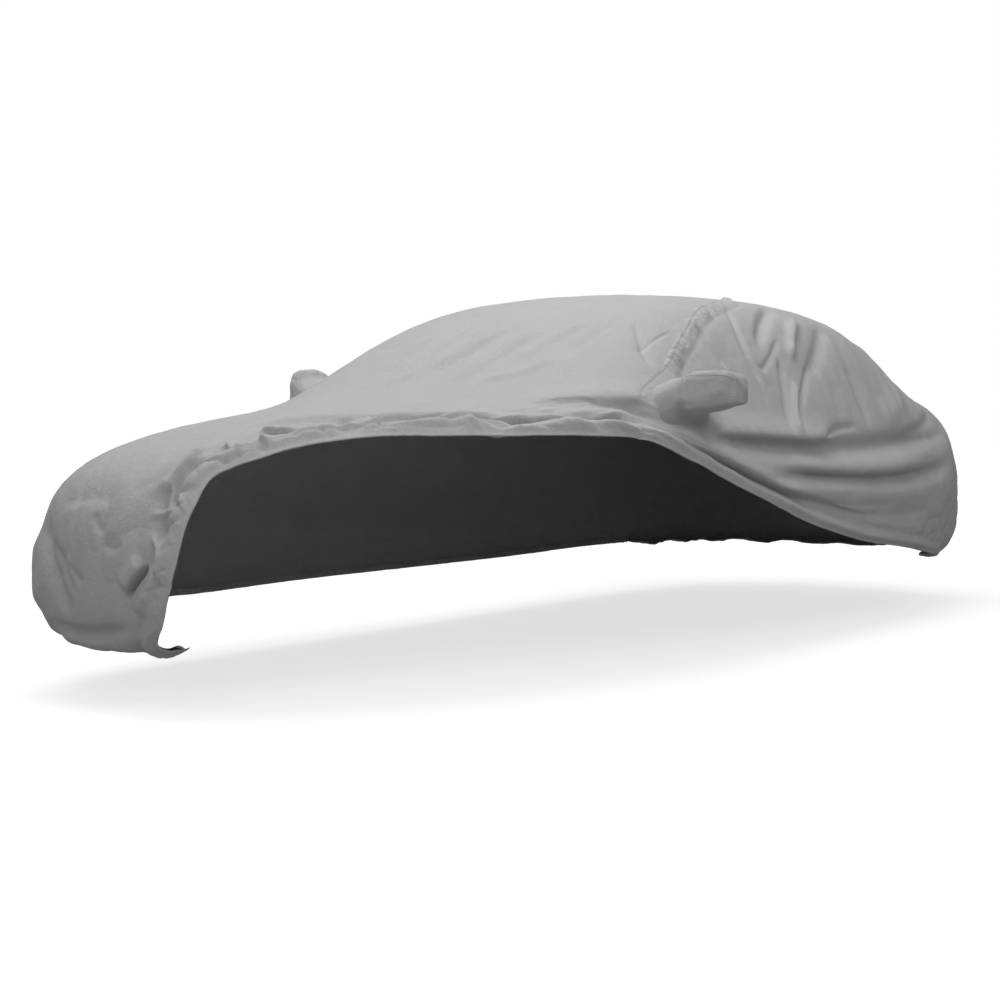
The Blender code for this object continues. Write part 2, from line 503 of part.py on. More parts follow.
def thicken(points, triangles, normals, inner=None):
    """A closed skin: the outside, the inside a sheet's thickness below it, and the rims between."""
    count = len(points)
    if inner is None:
        inner = points - SHEET * normals
    edges = np.concatenate([triangles[:, [0, 1]], triangles[:, [1, 2]], triangles[:, [2, 0]]])
    known = {(int(a), int(b)) for a, b in edges}
    rank = points @ (0.37, 1.0, 0.21)
    faces = [tuple(int(i) for i in t) for t in triangles]
    faces += [tuple(int(i) + count for i in t[::-1]) for t in triangles]
    for a, b in sorted(known):
        if (b, a) in known:
            continue
        if rank[a] < rank[b]:
            faces += [(b, a, a + count), (b, a + count, b + count)]
        else:
            faces += [(b, a, b + count), (a, a + count, b + count)]
    return np.concatenate([points, inner]), faces


def make_object(name, points, faces, material):
    mesh = bpy.data.meshes.new(name)
    mesh.from_pydata([tuple(p) for p in points - ORIGIN], [], faces)
    mesh.materials.append(material)
    mesh.update()
    made = bpy.data.objects.new(name, mesh)
    bpy.context.scene.collection.objects.link(made)
    return made


def make_material(name, colour, roughness):
    material = bpy.data.materials.new(name)
    material.use_nodes = True
    shader = material.node_tree.nodes["Principled BSDF"]
    shader.inputs["Base Color"].default_value = colour
    shader.inputs["Roughness"].default_value = roughness
    shader.inputs["Metallic"].default_value = 0.0
    material.diffuse_color = colour
    return material


def make_panel(name, outline_uv, holes_uv, material):
    uv, triangles, sizes = panel_mesh(outline_uv, holes_uv, name)
    points = cover_surface(uv)
    exact = normals_of(cover_surface, uv[:sum(sizes)])
    normals = mesh_normals(points, triangles)
    normals[:sum(sizes)] = exact
    start = 0
    for k, size in enumerate(sizes):
        loop = np.arange(start, start + size)
        turn = 1.0 if winding(flat(uv[loop])) > 0 else -1.0
        inset(points, normals, loop, (-1.0 if k else 1.0) * -turn * GAP / 2)
        start += size
    solid, faces = thicken(points, triangles, normals)
    return make_object(name, solid, faces, material)


def winding(loop):
    after = np.roll(loop, -1, axis=0)
    return float((loop[:, 0] * after[:, 1] - loop[:, 1] * after[:, 0]).sum())


def make_pocket(name, side, material):
    """A mirror pocket: a ring at its mouth in the panel, then a ring a section, then its end."""
    mouth_uv = mouth_loop(side)
    mouth = cover_surface(mouth_uv)
    out = normals_of(cover_surface, mouth_uv)
    middle = mouth.mean(axis=0)
    inward = middle - mouth
    inward -= np.einsum("ij,ij->i", inward, out)[:, None] * out
    inward /= np.linalg.norm(inward, axis=1, keepdims=True)
    mouth = mouth + 0.6 * GAP * inward
    angle = np.linspace(0, 2 * np.pi, POCKET_POINTS, endpoint=False)
    power = 2 / POCKET_SQUARE
    c = np.sign(np.cos(angle)) * np.abs(np.cos(angle)) ** power
    s = np.sign(np.sin(angle)) * np.abs(np.sin(angle)) ** power
    rings = [mouth]
    rise, drop = (0.0, 0.0) if side > 0 else (FAR_POCKET_RISE, FAR_POCKET_DROP)
    for k, row in enumerate(POCKET_SECTIONS):
        growth = 0.4 if k == 0 else 1.0
        z_low, z_high = row.z_low - drop * growth, row.z_high + rise * growth
        y = (row.y_front + row.y_back) / 2 + (row.y_back - row.y_front) / 2 * c
        z = (z_low + z_high) / 2 - (z_high - z_low) / 2 * s
        rings.append(np.column_stack([np.full(POCKET_POINTS, side * row.x), y, z]))
    tip = rings[-1].mean(axis=0) + (side * 0.004, 0.0, 0.0)
    points = np.concatenate(rings + [tip[None]])
    triangles = []
    for ring in range(len(rings) - 1):
        for k in range(POCKET_POINTS):
            a = ring * POCKET_POINTS + k
            b = ring * POCKET_POINTS + (k + 1) % POCKET_POINTS
            triangles += [(a, b, b + POCKET_POINTS), (a, b + POCKET_POINTS, a + POCKET_POINTS)]
    last = (len(rings) - 1) * POCKET_POINTS
    triangles += [(last + k, last + (k + 1) % POCKET_POINTS, len(points) - 1) for k in range(POCKET_POINTS)]
    triangles = np.array(triangles)
    normals = mesh_normals(points, triangles)
    if normals[-1, 0] * side < 0:
        triangles = triangles[:, ::-1]
        normals = -normals
    inner = points - SHEET * normals
    inner[:POCKET_POINTS] = mouth - SHEET * out
    solid, faces = thicken(points, triangles, normals, inner)
    return make_object(name, solid, faces, material)


def build():
    for item in list(bpy.data.objects):
        bpy.data.objects.remove(item, do_unlink=True)
    near, far = near_seam(), far_seam()
    edge = curve(FREE_EDGE, 600)
    edge[:, 1] = np.clip(edge[:, 1], -6, 6)
    edge[:, 0] = np.clip(edge[:, 0], 0, LAST)
    cut = near[0, 0]
    edge_front = even(edge[edge[:, 0] < cut], EDGE_STEP)
    edge_front[-1] = near[0]
    edge_rear = even(np.concatenate([near[:1], edge[edge[:, 0] > cut]]), EDGE_STEP)
    edge_rear[-1] = (LAST, 6.0)
    rear = float(LAST)
    top_outline = np.concatenate([
        far[:-1],
        line(far[-1], near[-1], HEM_STEP)[:-1],
        near[::-1][:-1],
        edge_front[::-1][:-1],
        line(edge_front[0], far[0], HEM_STEP)[:-1],
    ])
    left_outline = np.concatenate([
        near[:-1],
        line(near[-1], (rear, 6.0), HEM_STEP)[:-1],
        edge_rear[::-1][:-1],
    ])
    right_outline = np.concatenate([
        far[:-1],
        line(far[-1], (rear, -6.0), HEM_STEP)[:-1],
        line((rear, -6.0), (0.0, -6.0), HEM_STEP)[:-1],
        line((0.0, -6.0), far[0], HEM_STEP)[:-1],
    ])
    cloth = make_material("cover_cloth", CLOTH, 0.85)
    pocket_cloth = make_material("pocket_cloth", CLOTH, 0.85)
    make_panel("top_panel", top_outline, [], cloth)
    make_panel("side_panel_left", left_outline, [mouth_loop(1)], cloth)
    make_panel("side_panel_right", right_outline, [mouth_loop(-1)], cloth)
    make_pocket("mirror_pocket_left", 1, pocket_cloth)
    make_pocket("mirror_pocket_right", -1, pocket_cloth)


build()
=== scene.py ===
"""Looks of a fitted cloth cover for a full-size saloon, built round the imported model.

Lengths are in metres. Cloth tables use the ground frame: Y runs back from the front axle and Z
up from the ground. A place on the cloth is (station, girth): stations run from the front hem to
the rear hem, and girth runs from -6 at the right hem over the centre line to +6 at the left hem.
"""

import logging
import math
from collections.abc import Callable, Sequence
from dataclasses import dataclass, field
from enum import Enum

import bmesh
import bpy
import numpy as np
from mathutils import Euler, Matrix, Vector


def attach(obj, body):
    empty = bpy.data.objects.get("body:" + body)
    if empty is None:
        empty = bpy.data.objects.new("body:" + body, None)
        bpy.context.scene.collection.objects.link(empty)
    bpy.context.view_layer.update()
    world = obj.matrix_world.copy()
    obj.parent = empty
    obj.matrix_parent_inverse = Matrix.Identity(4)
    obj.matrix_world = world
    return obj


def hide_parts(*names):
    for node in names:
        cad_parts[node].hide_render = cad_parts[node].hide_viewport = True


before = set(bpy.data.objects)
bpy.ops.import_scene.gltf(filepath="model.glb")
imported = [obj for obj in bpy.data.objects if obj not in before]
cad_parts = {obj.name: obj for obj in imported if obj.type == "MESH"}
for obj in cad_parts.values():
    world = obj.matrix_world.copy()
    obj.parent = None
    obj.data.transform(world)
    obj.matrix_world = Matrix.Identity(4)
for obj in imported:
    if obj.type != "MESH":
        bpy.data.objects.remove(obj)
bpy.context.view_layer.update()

log = logging.getLogger("cover")

Array = np.ndarray
BODY = "root"
REST_Y = 1.90
SHEET = 0.0025
CLEARANCE = 0.002
HEM_STEP = 0.003
GIRTH_STEP = 0.30
MERGE_DISTANCE = 0.00005
EDGE_REACH = 0.34
EDGE_CALM = 0.15
EDGE_FADE = 0.045
STITCH_ROWS = (0.006, 0.014)
STITCH_LIFT = 0.0004
FAR_POCKET_RISE = 0.042
FAR_POCKET_DROP = 0.016


# ---------------------------------------------------------------- tables of the cover's cut


@dataclass(frozen=True)
class Station:
    """One cross-section of the cover, with a half girth given as widths and shares of the drop."""

    name: str
    crown_y: float
    crown_z: float
    rail_x: float
    rail_drop: float
    shoulder_x: float
    shoulder_drop: float
    waist_x: float
    waist_drop: float
    hem_x: float
    hem_y: float
    hem_z: float


STATIONS: tuple[Station, ...] = (
    Station("front_hem", -0.68, 0.20, 0.42, 0.03, 0.70, 0.22, 0.82, 0.58, 0.88, -0.28, 0.23),
    Station("chin", -0.90, 0.17, 0.42, 0.03, 0.71, 0.22, 0.87, 0.60, 0.93, -0.27, 0.24),
    Station("bumper", -0.95, 0.44, 0.42, 0.03, 0.74, 0.20, 0.89, 0.55, 0.94, -0.24, 0.25),
    Station("grille", -0.92, 0.68, 0.44, 0.02, 0.75, 0.20, 0.91, 0.53, 0.94, -0.15, 0.25),
    Station("nose", -0.78, 0.85, 0.50, 0.03, 0.81, 0.20, 0.95, 0.50, 0.94, -0.05, 0.26),
    Station("bonnet", -0.35, 0.95, 0.54, 0.03, 0.86, 0.18, 0.97, 0.48, 0.94, 0.15, 0.26),
    Station("bonnet_mid", 0.05, 1.00, 0.58, 0.04, 0.88, 0.18, 0.98, 0.48, 0.94, 0.40, 0.26),
    Station("cowl", 0.43, 1.06, 0.64, 0.04, 0.90, 0.18, 0.99, 0.50, 0.94, 0.75, 0.27),
    Station("windscreen", 0.86, 1.30, 0.72, 0.06, 0.90, 0.32, 0.98, 0.60, 0.94, 1.10, 0.27),
    Station("header", 1.35, 1.49, 0.69, 0.05, 0.88, 0.42, 0.98, 0.68, 0.94, 1.50, 0.27),
    Station("roof", 2.00, 1.52, 0.66, 0.05, 0.88, 0.45, 0.98, 0.68, 0.94, 2.05, 0.27),
    Station("roof_rear", 2.72, 1.52, 0.69, 0.05, 0.88, 0.45, 0.98, 0.68, 0.94, 2.60, 0.27),
    Station("backlight", 3.25, 1.43, 0.67, 0.06, 0.88, 0.40, 0.98, 0.64, 0.94, 3.00, 0.28),
    Station("parcel", 3.70, 1.22, 0.64, 0.08, 0.86, 0.30, 0.97, 0.58, 0.94, 3.25, 0.28),
    Station("boot", 4.02, 1.12, 0.65, 0.06, 0.84, 0.24, 0.94, 0.54, 0.93, 3.40, 0.28),
    Station("boot_edge", 4.26, 1.07, 0.62, 0.05, 0.78, 0.22, 0.90, 0.50, 0.92, 3.48, 0.28),
    Station("tail", 4.38, 0.87, 0.55, 0.04, 0.75, 0.20, 0.88, 0.50, 0.91, 3.54, 0.28),
    Station("rear_bumper", 4.40, 0.57, 0.50, 0.04, 0.73, 0.18, 0.87, 0.48, 0.90, 3.58, 0.28),
    Station("rear_chin", 4.34, 0.26, 0.48, 0.03, 0.70, 0.18, 0.82, 0.48, 0.87, 3.58, 0.27),
    Station("rear_hem", 4.12, 0.28, 0.44, 0.03, 0.62, 0.22, 0.74, 0.52, 0.80, 3.58, 0.28),
)
LAST = len(STATIONS) - 1

GirthPath = tuple[tuple[float, float], ...]

FREE_EDGE: GirthPath = (
    (0.0, -0.30), (1.0, -0.15), (1.5, 0.15), (2.2, 0.46), (3.0, 0.60), (3.6, 0.66), (4.0, 1.05),
    (4.3, 1.32), (4.7, 1.75), (5.1, 2.20), (5.5, 2.45), (6.6, 2.87), (7.3, 3.20), (8.0, 3.67),
    (9.0, 4.17), (10.0, 4.80), (11.4, 5.40), (14.0, 5.85), (19.0, 6.00),
)
SEAM: GirthPath = (
    (7.15, 3.14), (7.3, 2.85), (7.6, 2.55), (8.0, 2.43), (8.2, 2.38), (8.5, 2.22), (8.8, 2.08),
    (9.1, 1.91), (9.4, 1.76), (9.8, 1.56), (10.05, 1.40), (10.4, 1.08), (11.0, 0.92),
    (13.0, 0.92), (16.0, 1.00), (19.0, 1.10),
)
FAR_SEAM_FRONT: GirthPath = (
    (0.0, 4.00), (2.5, 3.90), (4.0, 3.60), (5.5, 3.35), (6.8, 3.00), (7.4, 2.66),
)
SEAM_START = SEAM[0][0]
GATHER_START = 8.1
GATHER_END = 10.2


@dataclass(frozen=True)
class EdgeRoll:
    """How the drawn-back edge lies at one station: its bulge, groove, tuck, pleats and crumple."""

    station: float
    width: float
    roll: float
    groove: float
    tuck: float
    pleat: float
    crumple: float


EDGE_ROLLS: tuple[EdgeRoll, ...] = (
    EdgeRoll(0.0, 0.050, 0.008, 0.004, 0.006, 0.000, 0.001),
    EdgeRoll(2.0, 0.060, 0.014, 0.010, 0.006, 0.001, 0.004),
    EdgeRoll(3.2, 0.075, 0.020, 0.022, 0.006, 0.002, 0.010),
    EdgeRoll(4.2, 0.085, 0.024, 0.020, 0.005, 0.004, 0.009),
    EdgeRoll(5.2, 0.075, 0.028, 0.018, 0.004, 0.009, 0.007),
    EdgeRoll(6.8, 0.070, 0.024, 0.016, 0.004, 0.008, 0.002),
    EdgeRoll(8.2, 0.055, 0.016, 0.014, 0.006, 0.001, 0.001),
    EdgeRoll(10.0, 0.055, 0.012, 0.012, 0.008, 0.000, 0.000),
    EdgeRoll(12.0, 0.050, 0.006, 0.004, 0.010, 0.000, 0.000),
    EdgeRoll(19.0, 0.050, 0.004, 0.002, 0.012, 0.000, 0.000),
)


class Cut(Enum):
    """Cross-section of a fold, as the power of its falling-off."""

    SOFT = 2.0
    FIRM = 1.7
    CRISP = 1.35


@dataclass(frozen=True)
class Fold:
    """A ridge (height above 0) or a trough along a path on the cloth.

    Its crest or bottom lies over to the right of its run by the last number.
    """

    name: str
    path: GirthPath
    width: float
    height: float
    lean: float = 0.0
    cut: Cut = Cut.SOFT
    over: float = 0.0


FOLDS: tuple[Fold, ...] = (
    Fold("mouth_slit", ((2.24, 0.05), (2.04, -0.21), (1.88, -0.38), (1.76, -0.46)),
         0.011, -0.034, 0.0, Cut.SOFT, 0.004),
    Fold("mouth_lip", ((2.32, 0.12), (2.00, 0.07), (1.75, -0.13), (1.54, -0.32)), 0.022, 0.024),
    Fold("mouth_brow", ((2.34, -0.09), (2.08, -0.36), (1.90, -0.56)), 0.030, 0.020, 0.0, Cut.SOFT, -0.014),
    Fold("front_crease", ((2.66, 0.02), (2.46, 0.17), (2.29, 0.23), (2.00, 0.20)),
         0.015, 0.022, 0.3, Cut.CRISP),
    Fold("front_hollow", ((2.94, 0.02), (2.74, 0.12), (2.52, 0.26)), 0.022, -0.014),
    Fold("strip_tuck", ((1.96, 0.16), (1.97, 0.28), (1.96, 0.42)), 0.012, -0.014, 0.0, Cut.FIRM),
    Fold("strip_valley", ((3.40, 0.03), (3.18, 0.07), (2.92, 0.12)), 0.024, -0.026),
    Fold("corner_crease", ((3.05, -2.75), (2.5, -2.45), (1.9, -2.15), (1.3, -1.9)),
         0.045, -0.026, 0.3, Cut.FIRM),
    Fold("corner_line", ((2.58, -2.32), (2.25, -2.02), (2.00, -1.87), (1.76, -1.60)),
         0.020, -0.016, 0.3, Cut.CRISP),
    Fold("corner_pad", ((2.9, -3.1), (2.2, -2.95), (1.5, -2.75)), 0.12, 0.020),
    Fold("cheek_arc", ((2.19, -1.83), (2.02, -1.62), (1.95, -1.40)), 0.018, -0.014, 0.4, Cut.CRISP),
    Fold("cheek_bow", ((2.94, -1.18), (2.76, -1.13), (2.60, -0.90)), 0.018, -0.010, 0.4, Cut.CRISP),
    Fold("smile_crease", ((2.46, -0.98), (2.41, -0.72), (2.46, -0.48)), 0.018, -0.011, 0.5, Cut.CRISP),
    Fold("chin_fold", ((1.06, -2.70), (0.90, -2.20), (0.93, -1.70), (0.85, -1.00), (0.85, -0.45)),
         0.034, 0.014),
    Fold("chin_tuck", ((1.28, -2.60), (1.18, -1.75), (1.28, -0.95), (1.40, -0.36)), 0.024, -0.022),
    Fold("roll_dark", ((2.88, 0.40), (3.20, 0.26), (3.50, 0.15), (3.76, 0.14), (3.98, 0.26)),
         0.018, -0.028, 0.0, Cut.FIRM, -0.010),
    Fold("roll_ridge", ((3.16, 0.42), (3.54, 0.28), (3.80, 0.40), (4.04, 0.64)),
         0.015, 0.022, 0.0, Cut.FIRM, 0.014),
    Fold("grille_ridge", ((3.45, 0.12), (3.12, 0.18), (2.84, 0.26)), 0.018, 0.018),
    Fold("second_ridge", ((3.10, -0.12), (3.42, -0.07), (3.75, -0.07), (4.04, -0.02), (4.20, 0.14)),
         0.034, 0.022, 0.0, Cut.SOFT, 0.026),
    Fold("brow_bend", ((3.12, -2.13), (3.17, -1.40), (3.12, -0.73)), 0.045, -0.010, 0.4),
    Fold("nose_sweep", ((4.0, 0.18), (4.3, 0.32), (4.55, 0.60), (4.72, 1.0)), 0.045, 0.016, -0.2),
    Fold("strip_cross_1", ((4.20, 0.32), (4.10, 0.56), (3.98, 0.82)), 0.014, 0.020, 0.0, Cut.FIRM, 0.014),
    Fold("strip_cross_2", ((4.24, 0.46), (4.15, 0.66), (4.08, 0.84)), 0.013, -0.018, 0.0, Cut.FIRM),
    Fold("strip_cross_3", ((4.32, 0.62), (4.22, 0.86), (4.15, 1.12)), 0.014, 0.018, 0.0, Cut.FIRM, 0.014),
    Fold("flap_top", ((4.52, 0.40), (4.56, 0.84), (4.72, 1.16)), 0.024, 0.022, 0.0, Cut.FIRM, 0.024),
    Fold("flap_valley", ((4.44, 0.56), (4.43, 0.86), (4.50, 1.12)), 0.016, -0.022, 0.0, Cut.FIRM),
    Fold("tent_dark", ((4.70, 1.44), (4.84, 1.26), (5.06, 1.02)), 0.020, -0.026),
    Fold("tent_ridge", ((5.08, 1.22), (4.94, 1.50), (4.78, 1.84)), 0.018, 0.024, 0.0, Cut.FIRM, -0.018),
    Fold("tent_valley", ((5.20, 1.36), (5.08, 1.60), (5.00, 1.78)), 0.017, -0.020, 0.0, Cut.FIRM),
    Fold("bonnet_ridge", ((4.9, -0.3), (5.02, 0.6), (5.32, 1.35), (5.8, 1.90), (6.3, 2.25)),
         0.05, 0.028, -0.2, Cut.FIRM, 0.034),
    Fold("band_valley", ((5.10, 1.10), (5.24, 1.56), (5.58, 2.05), (6.38, 2.50), (7.12, 2.86)),
         0.026, -0.030, 0.0, Cut.FIRM, -0.012),
    Fold("band_low", ((5.40, 2.14), (5.84, 2.38), (6.67, 2.70)), 0.016, -0.012, 0.0, Cut.CRISP),
    Fold("pleat_a", ((5.18, 1.64), (5.33, 2.05), (5.56, 2.38)), 0.015, 0.020, 0.0, Cut.FIRM),
    Fold("pleat_b", ((5.58, 1.72), (5.88, 2.18), (6.38, 2.48), (6.86, 2.66)), 0.014, -0.018, 0.0, Cut.FIRM),
    Fold("pleat_c", ((6.20, 1.90), (6.62, 2.38), (7.17, 2.76)), 0.018, -0.022, 0.2, Cut.FIRM),
    Fold("wing_pleat", ((5.9, 2.05), (6.3, 2.32), (6.9, 2.55), (7.4, 2.70)),
         0.030, 0.022, 0.2, Cut.FIRM, 0.018),
    Fold("mirror_sweep", ((6.6, 1.85), (7.0, 2.1), (7.35, 2.38), (7.75, 2.62)),
         0.05, 0.022, 0.3, Cut.SOFT, 0.024),
    Fold("mirror_trough", ((7.0, 2.28), (7.3, 2.50), (7.6, 2.90), (7.9, 3.08)),
         0.036, -0.026, 0.0, Cut.FIRM),
    Fold("screen_1", ((7.35, -0.62), (7.8, -0.58), (8.08, -0.47), (8.40, -0.32)),
         0.020, 0.012, 0.4, Cut.CRISP),
    Fold("screen_2", ((7.3, -0.15), (7.8, -0.20), (8.35, -0.22)), 0.020, 0.012, 0.4, Cut.CRISP),
    Fold("screen_3", ((6.9, -0.45), (7.35, -0.05), (8.25, 0.22)), 0.030, 0.022, 0.4, Cut.FIRM),
    Fold("screen_3_side", ((7.1, -0.20), (7.55, 0.14), (8.30, 0.36)), 0.022, -0.014, 0.4, Cut.FIRM),
    Fold("screen_4", ((6.95, 0.50), (7.5, 0.57), (8.15, 0.68)), 0.030, 0.022, 0.4, Cut.FIRM),
    Fold("screen_5", ((7.02, 0.76), (7.27, 1.14), (7.64, 1.34)), 0.026, 0.014, 0.3, Cut.FIRM),
    Fold("screen_6", ((7.50, 0.88), (7.88, 0.97), (8.36, 1.12)), 0.026, 0.016, 0.3, Cut.FIRM),
    Fold("screen_7", ((7.6, 1.42), (8.0, 1.36), (8.50, 1.42)), 0.028, -0.014, 0.3, Cut.FIRM),
    Fold("pillar_v", ((8.50, 1.55), (8.14, 2.05), (8.04, 2.35)), 0.022, -0.016, 0.2, Cut.CRISP),
    Fold("stitched_tuck", ((7.98, 2.00), (8.33, 2.00), (8.68, 2.00)), 0.009, -0.006, 0.0, Cut.CRISP),
    Fold("glass_1", ((9.03, 1.98), (9.04, 2.30), (9.08, 2.60)), 0.018, -0.016, -0.3, Cut.CRISP),
    Fold("glass_2", ((9.76, 1.72), (9.58, 2.17), (9.50, 2.50), (9.55, 2.80)),
         0.022, -0.018, -0.3, Cut.CRISP),
    Fold("glass_dark", ((10.54, 1.57), (10.18, 1.90), (9.92, 2.16), (9.70, 2.40)), 0.030, -0.026),
    Fold("glass_v", ((9.56, 2.40), (9.62, 2.58), (9.88, 2.43), (10.12, 2.22)),
         0.014, -0.012, 0.0, Cut.FIRM),
    Fold("glass_3", ((10.66, 1.84), (10.35, 2.18), (10.06, 2.52)), 0.028, 0.024),
    Fold("glass_4", ((9.98, 2.44), (9.83, 2.83), (9.66, 3.22)), 0.020, -0.030, 0.0, Cut.FIRM),
    Fold("glass_5", ((10.06, 2.68), (9.90, 2.96), (9.76, 3.23)), 0.022, 0.020),
    Fold("glass_6", ((10.48, 2.46), (10.21, 2.70), (9.97, 3.00), (9.84, 3.22)),
         0.016, -0.022, 0.0, Cut.FIRM),
    Fold("glass_7", ((11.10, 1.88), (10.64, 2.36), (10.30, 2.66)), 0.036, -0.022),
    Fold("glass_8", ((11.05, 2.40), (11.12, 2.87), (11.12, 3.24)), 0.034, -0.014),
    Fold("pillar_soft", ((12.5, 2.3), (12.1, 2.8), (11.4, 3.15)), 0.070, 0.014),
    Fold("rear_crease", ((13.9, 2.45), (12.83, 3.05), (11.80, 3.38)), 0.040, -0.018, 0.3, Cut.FIRM),
    Fold("swag_short", ((10.15, 3.28), (10.50, 3.20), (10.90, 3.17)), 0.018, -0.018, 0.0, Cut.FIRM),
    Fold("swag_ridge", ((7.9, 3.05), (8.6, 3.16), (9.6, 3.22), (10.6, 3.26)),
         0.046, 0.026, 0.0, Cut.SOFT, 0.036),
    Fold("swag_1", ((7.75, 3.05), (8.2, 3.27), (9.4, 3.43), (11.0, 3.48), (12.8, 3.33), (14.3, 2.95)),
         0.038, -0.046, 0.3, Cut.FIRM, -0.026),
    Fold("swag_1_lip", ((8.4, 3.5), (9.6, 3.62), (11.2, 3.70), (13.0, 3.62)),
         0.060, 0.020, 0.0, Cut.SOFT, 0.030),
    Fold("swag_2", ((8.8, 3.68), (9.6, 3.83), (10.8, 4.02), (12.0, 4.08), (13.2, 3.90), (14.4, 3.6)),
         0.036, -0.042, 0.3, Cut.FIRM, -0.026),
    Fold("swag_2_lip", ((9.2, 3.98), (10.4, 4.18), (11.8, 4.28), (13.2, 4.12)), 0.060, 0.014),
    Fold("low_crease_1", ((9.6, 4.22), (10.5, 4.42), (11.6, 4.52)), 0.022, -0.012, 0.3, Cut.CRISP),
    Fold("low_crease_2", ((10.6, 4.62), (11.8, 4.78), (13.0, 4.70)), 0.030, -0.014, 0.3, Cut.FIRM),
    Fold("edge_pleat", ((7.7, 3.22), (8.3, 3.56), (9.2, 3.99), (10.2, 4.47), (11.2, 4.86)),
         0.026, -0.026, -0.2, Cut.FIRM, -0.014),
    Fold("edge_rise", ((7.4, 2.95), (8.2, 3.36), (9.0, 3.74), (9.9, 4.15)),
         0.046, 0.020, 0.0, Cut.SOFT, 0.026),
    Fold("rear_quarter", ((14.2, 2.5), (14.0, 3.0), (13.0, 3.4)), 0.070, -0.012),
    Fold("far_wing", ((5.5, -3.5), (6.8, -3.7), (8.2, -3.6)), 0.080, -0.012),
    Fold("far_side", ((8.6, -3.5), (10.5, -3.7), (12.5, -3.6), (14.0, -3.2)), 0.090, -0.016),
    Fold("far_skirt", ((6.0, -4.7), (9.0, -4.9), (12.0, -4.7)), 0.100, -0.014),
    Fold("far_glass_1", ((9.9, -1.7), (9.6, -2.3), (9.5, -2.9)), 0.030, -0.014, 0.2, Cut.FIRM),
    Fold("far_glass_2", ((10.8, -1.8), (10.4, -2.4), (10.1, -3.0)), 0.040, -0.016),
    Fold("tail_fold", ((16.0, -1.6), (16.3, 0.0), (16.0, 1.8)), 0.090, -0.012),
    Fold("tail_crease", ((14.9, -0.9), (15.3, -0.1), (15.1, 0.9)), 0.045, -0.010, 0.3, Cut.FIRM),
)


# ---------------------------------------------------------------- small tools on arrays


def smoothstep(x: Array) -> Array:
    """Eased ramp from 0 to 1."""
    x = np.clip(x, 0, 1)
    return x * x * (3 - 2 * x)


def rounded_path(points: GirthPath, count: int) -> Array:
    """Rounds a path through a few points.

    Args:
        points: Rows of (station, girth) that the path passes through.
        count: How many rows to return.

    Returns:
        Rows of (station, girth) along the path.
    """
    keys = np.array(points, float)
    ends = np.concatenate([2 * keys[:1] - keys[1:2], keys, 2 * keys[-1:] - keys[-2:-1]])
    t = np.linspace(0, len(keys) - 1, count)
    i = np.minimum(t.astype(int), len(keys) - 2)
    f = (t - i)[:, None]
    a, b, c, d = ends[i], ends[i + 1], ends[i + 2], ends[i + 3]
    return 0.5 * (2 * b + (c - a) * f + (2 * a - 5 * b + 4 * c - d) * f**2 + (3 * b - 3 * c + d - a) * f**3)


def run_of(path: Array) -> Array:
    """Length along a path at each of its points, from 0."""
    return np.concatenate([[0], np.cumsum(np.linalg.norm(np.diff(path, axis=0), axis=1))])


@dataclass
class Nearness:
    """How points lie to a path: distance, side (+1 left of its run), share along it, way to its left."""

    distance: Array
    side: Array
    share: Array
    left: Array

    @classmethod
    def to_path(cls, points: Array, normals: Array, path: Array, reach: float) -> "Nearness":
        """Measures points against a path.

        Args:
            points: Points in space, one a row.
            normals: The cloth's unit normal at each point.
            path: Points along the path.
            reach: Points further than this from the path keep an infinite distance.

        Returns:
            The nearness of each point.
        """
        best = np.full(len(points), np.inf)
        side = np.zeros(len(points))
        share = np.zeros(len(points))
        left = np.zeros((len(points), 3))
        run = run_of(path)
        for k in range(len(path) - 1):
            step = path[k + 1] - path[k]
            length = run[k + 1] - run[k]
            middle = (path[k] + path[k + 1]) / 2
            near = np.nonzero((np.abs(points - middle) < reach + length / 2).all(axis=1))[0]
            offset = points[near] - path[k]
            t = np.clip(offset @ step / length**2, 0, 1)
            away = offset - t[:, None] * step
            distance = np.linalg.norm(away, axis=1)
            closer = distance < best[near]
            rows = near[closer]
            best[rows] = distance[closer]
            aside = np.cross(normals[rows], step)
            side[rows] = np.sign(np.einsum("ij,ij->i", aside, away[closer]))
            left[rows] = aside / np.maximum(np.linalg.norm(aside, axis=1, keepdims=True), 1e-9)
            share[rows] = (run[k] + t[closer] * length) / run[-1]
        best[best > reach] = np.inf
        return cls(best, side, share, left)


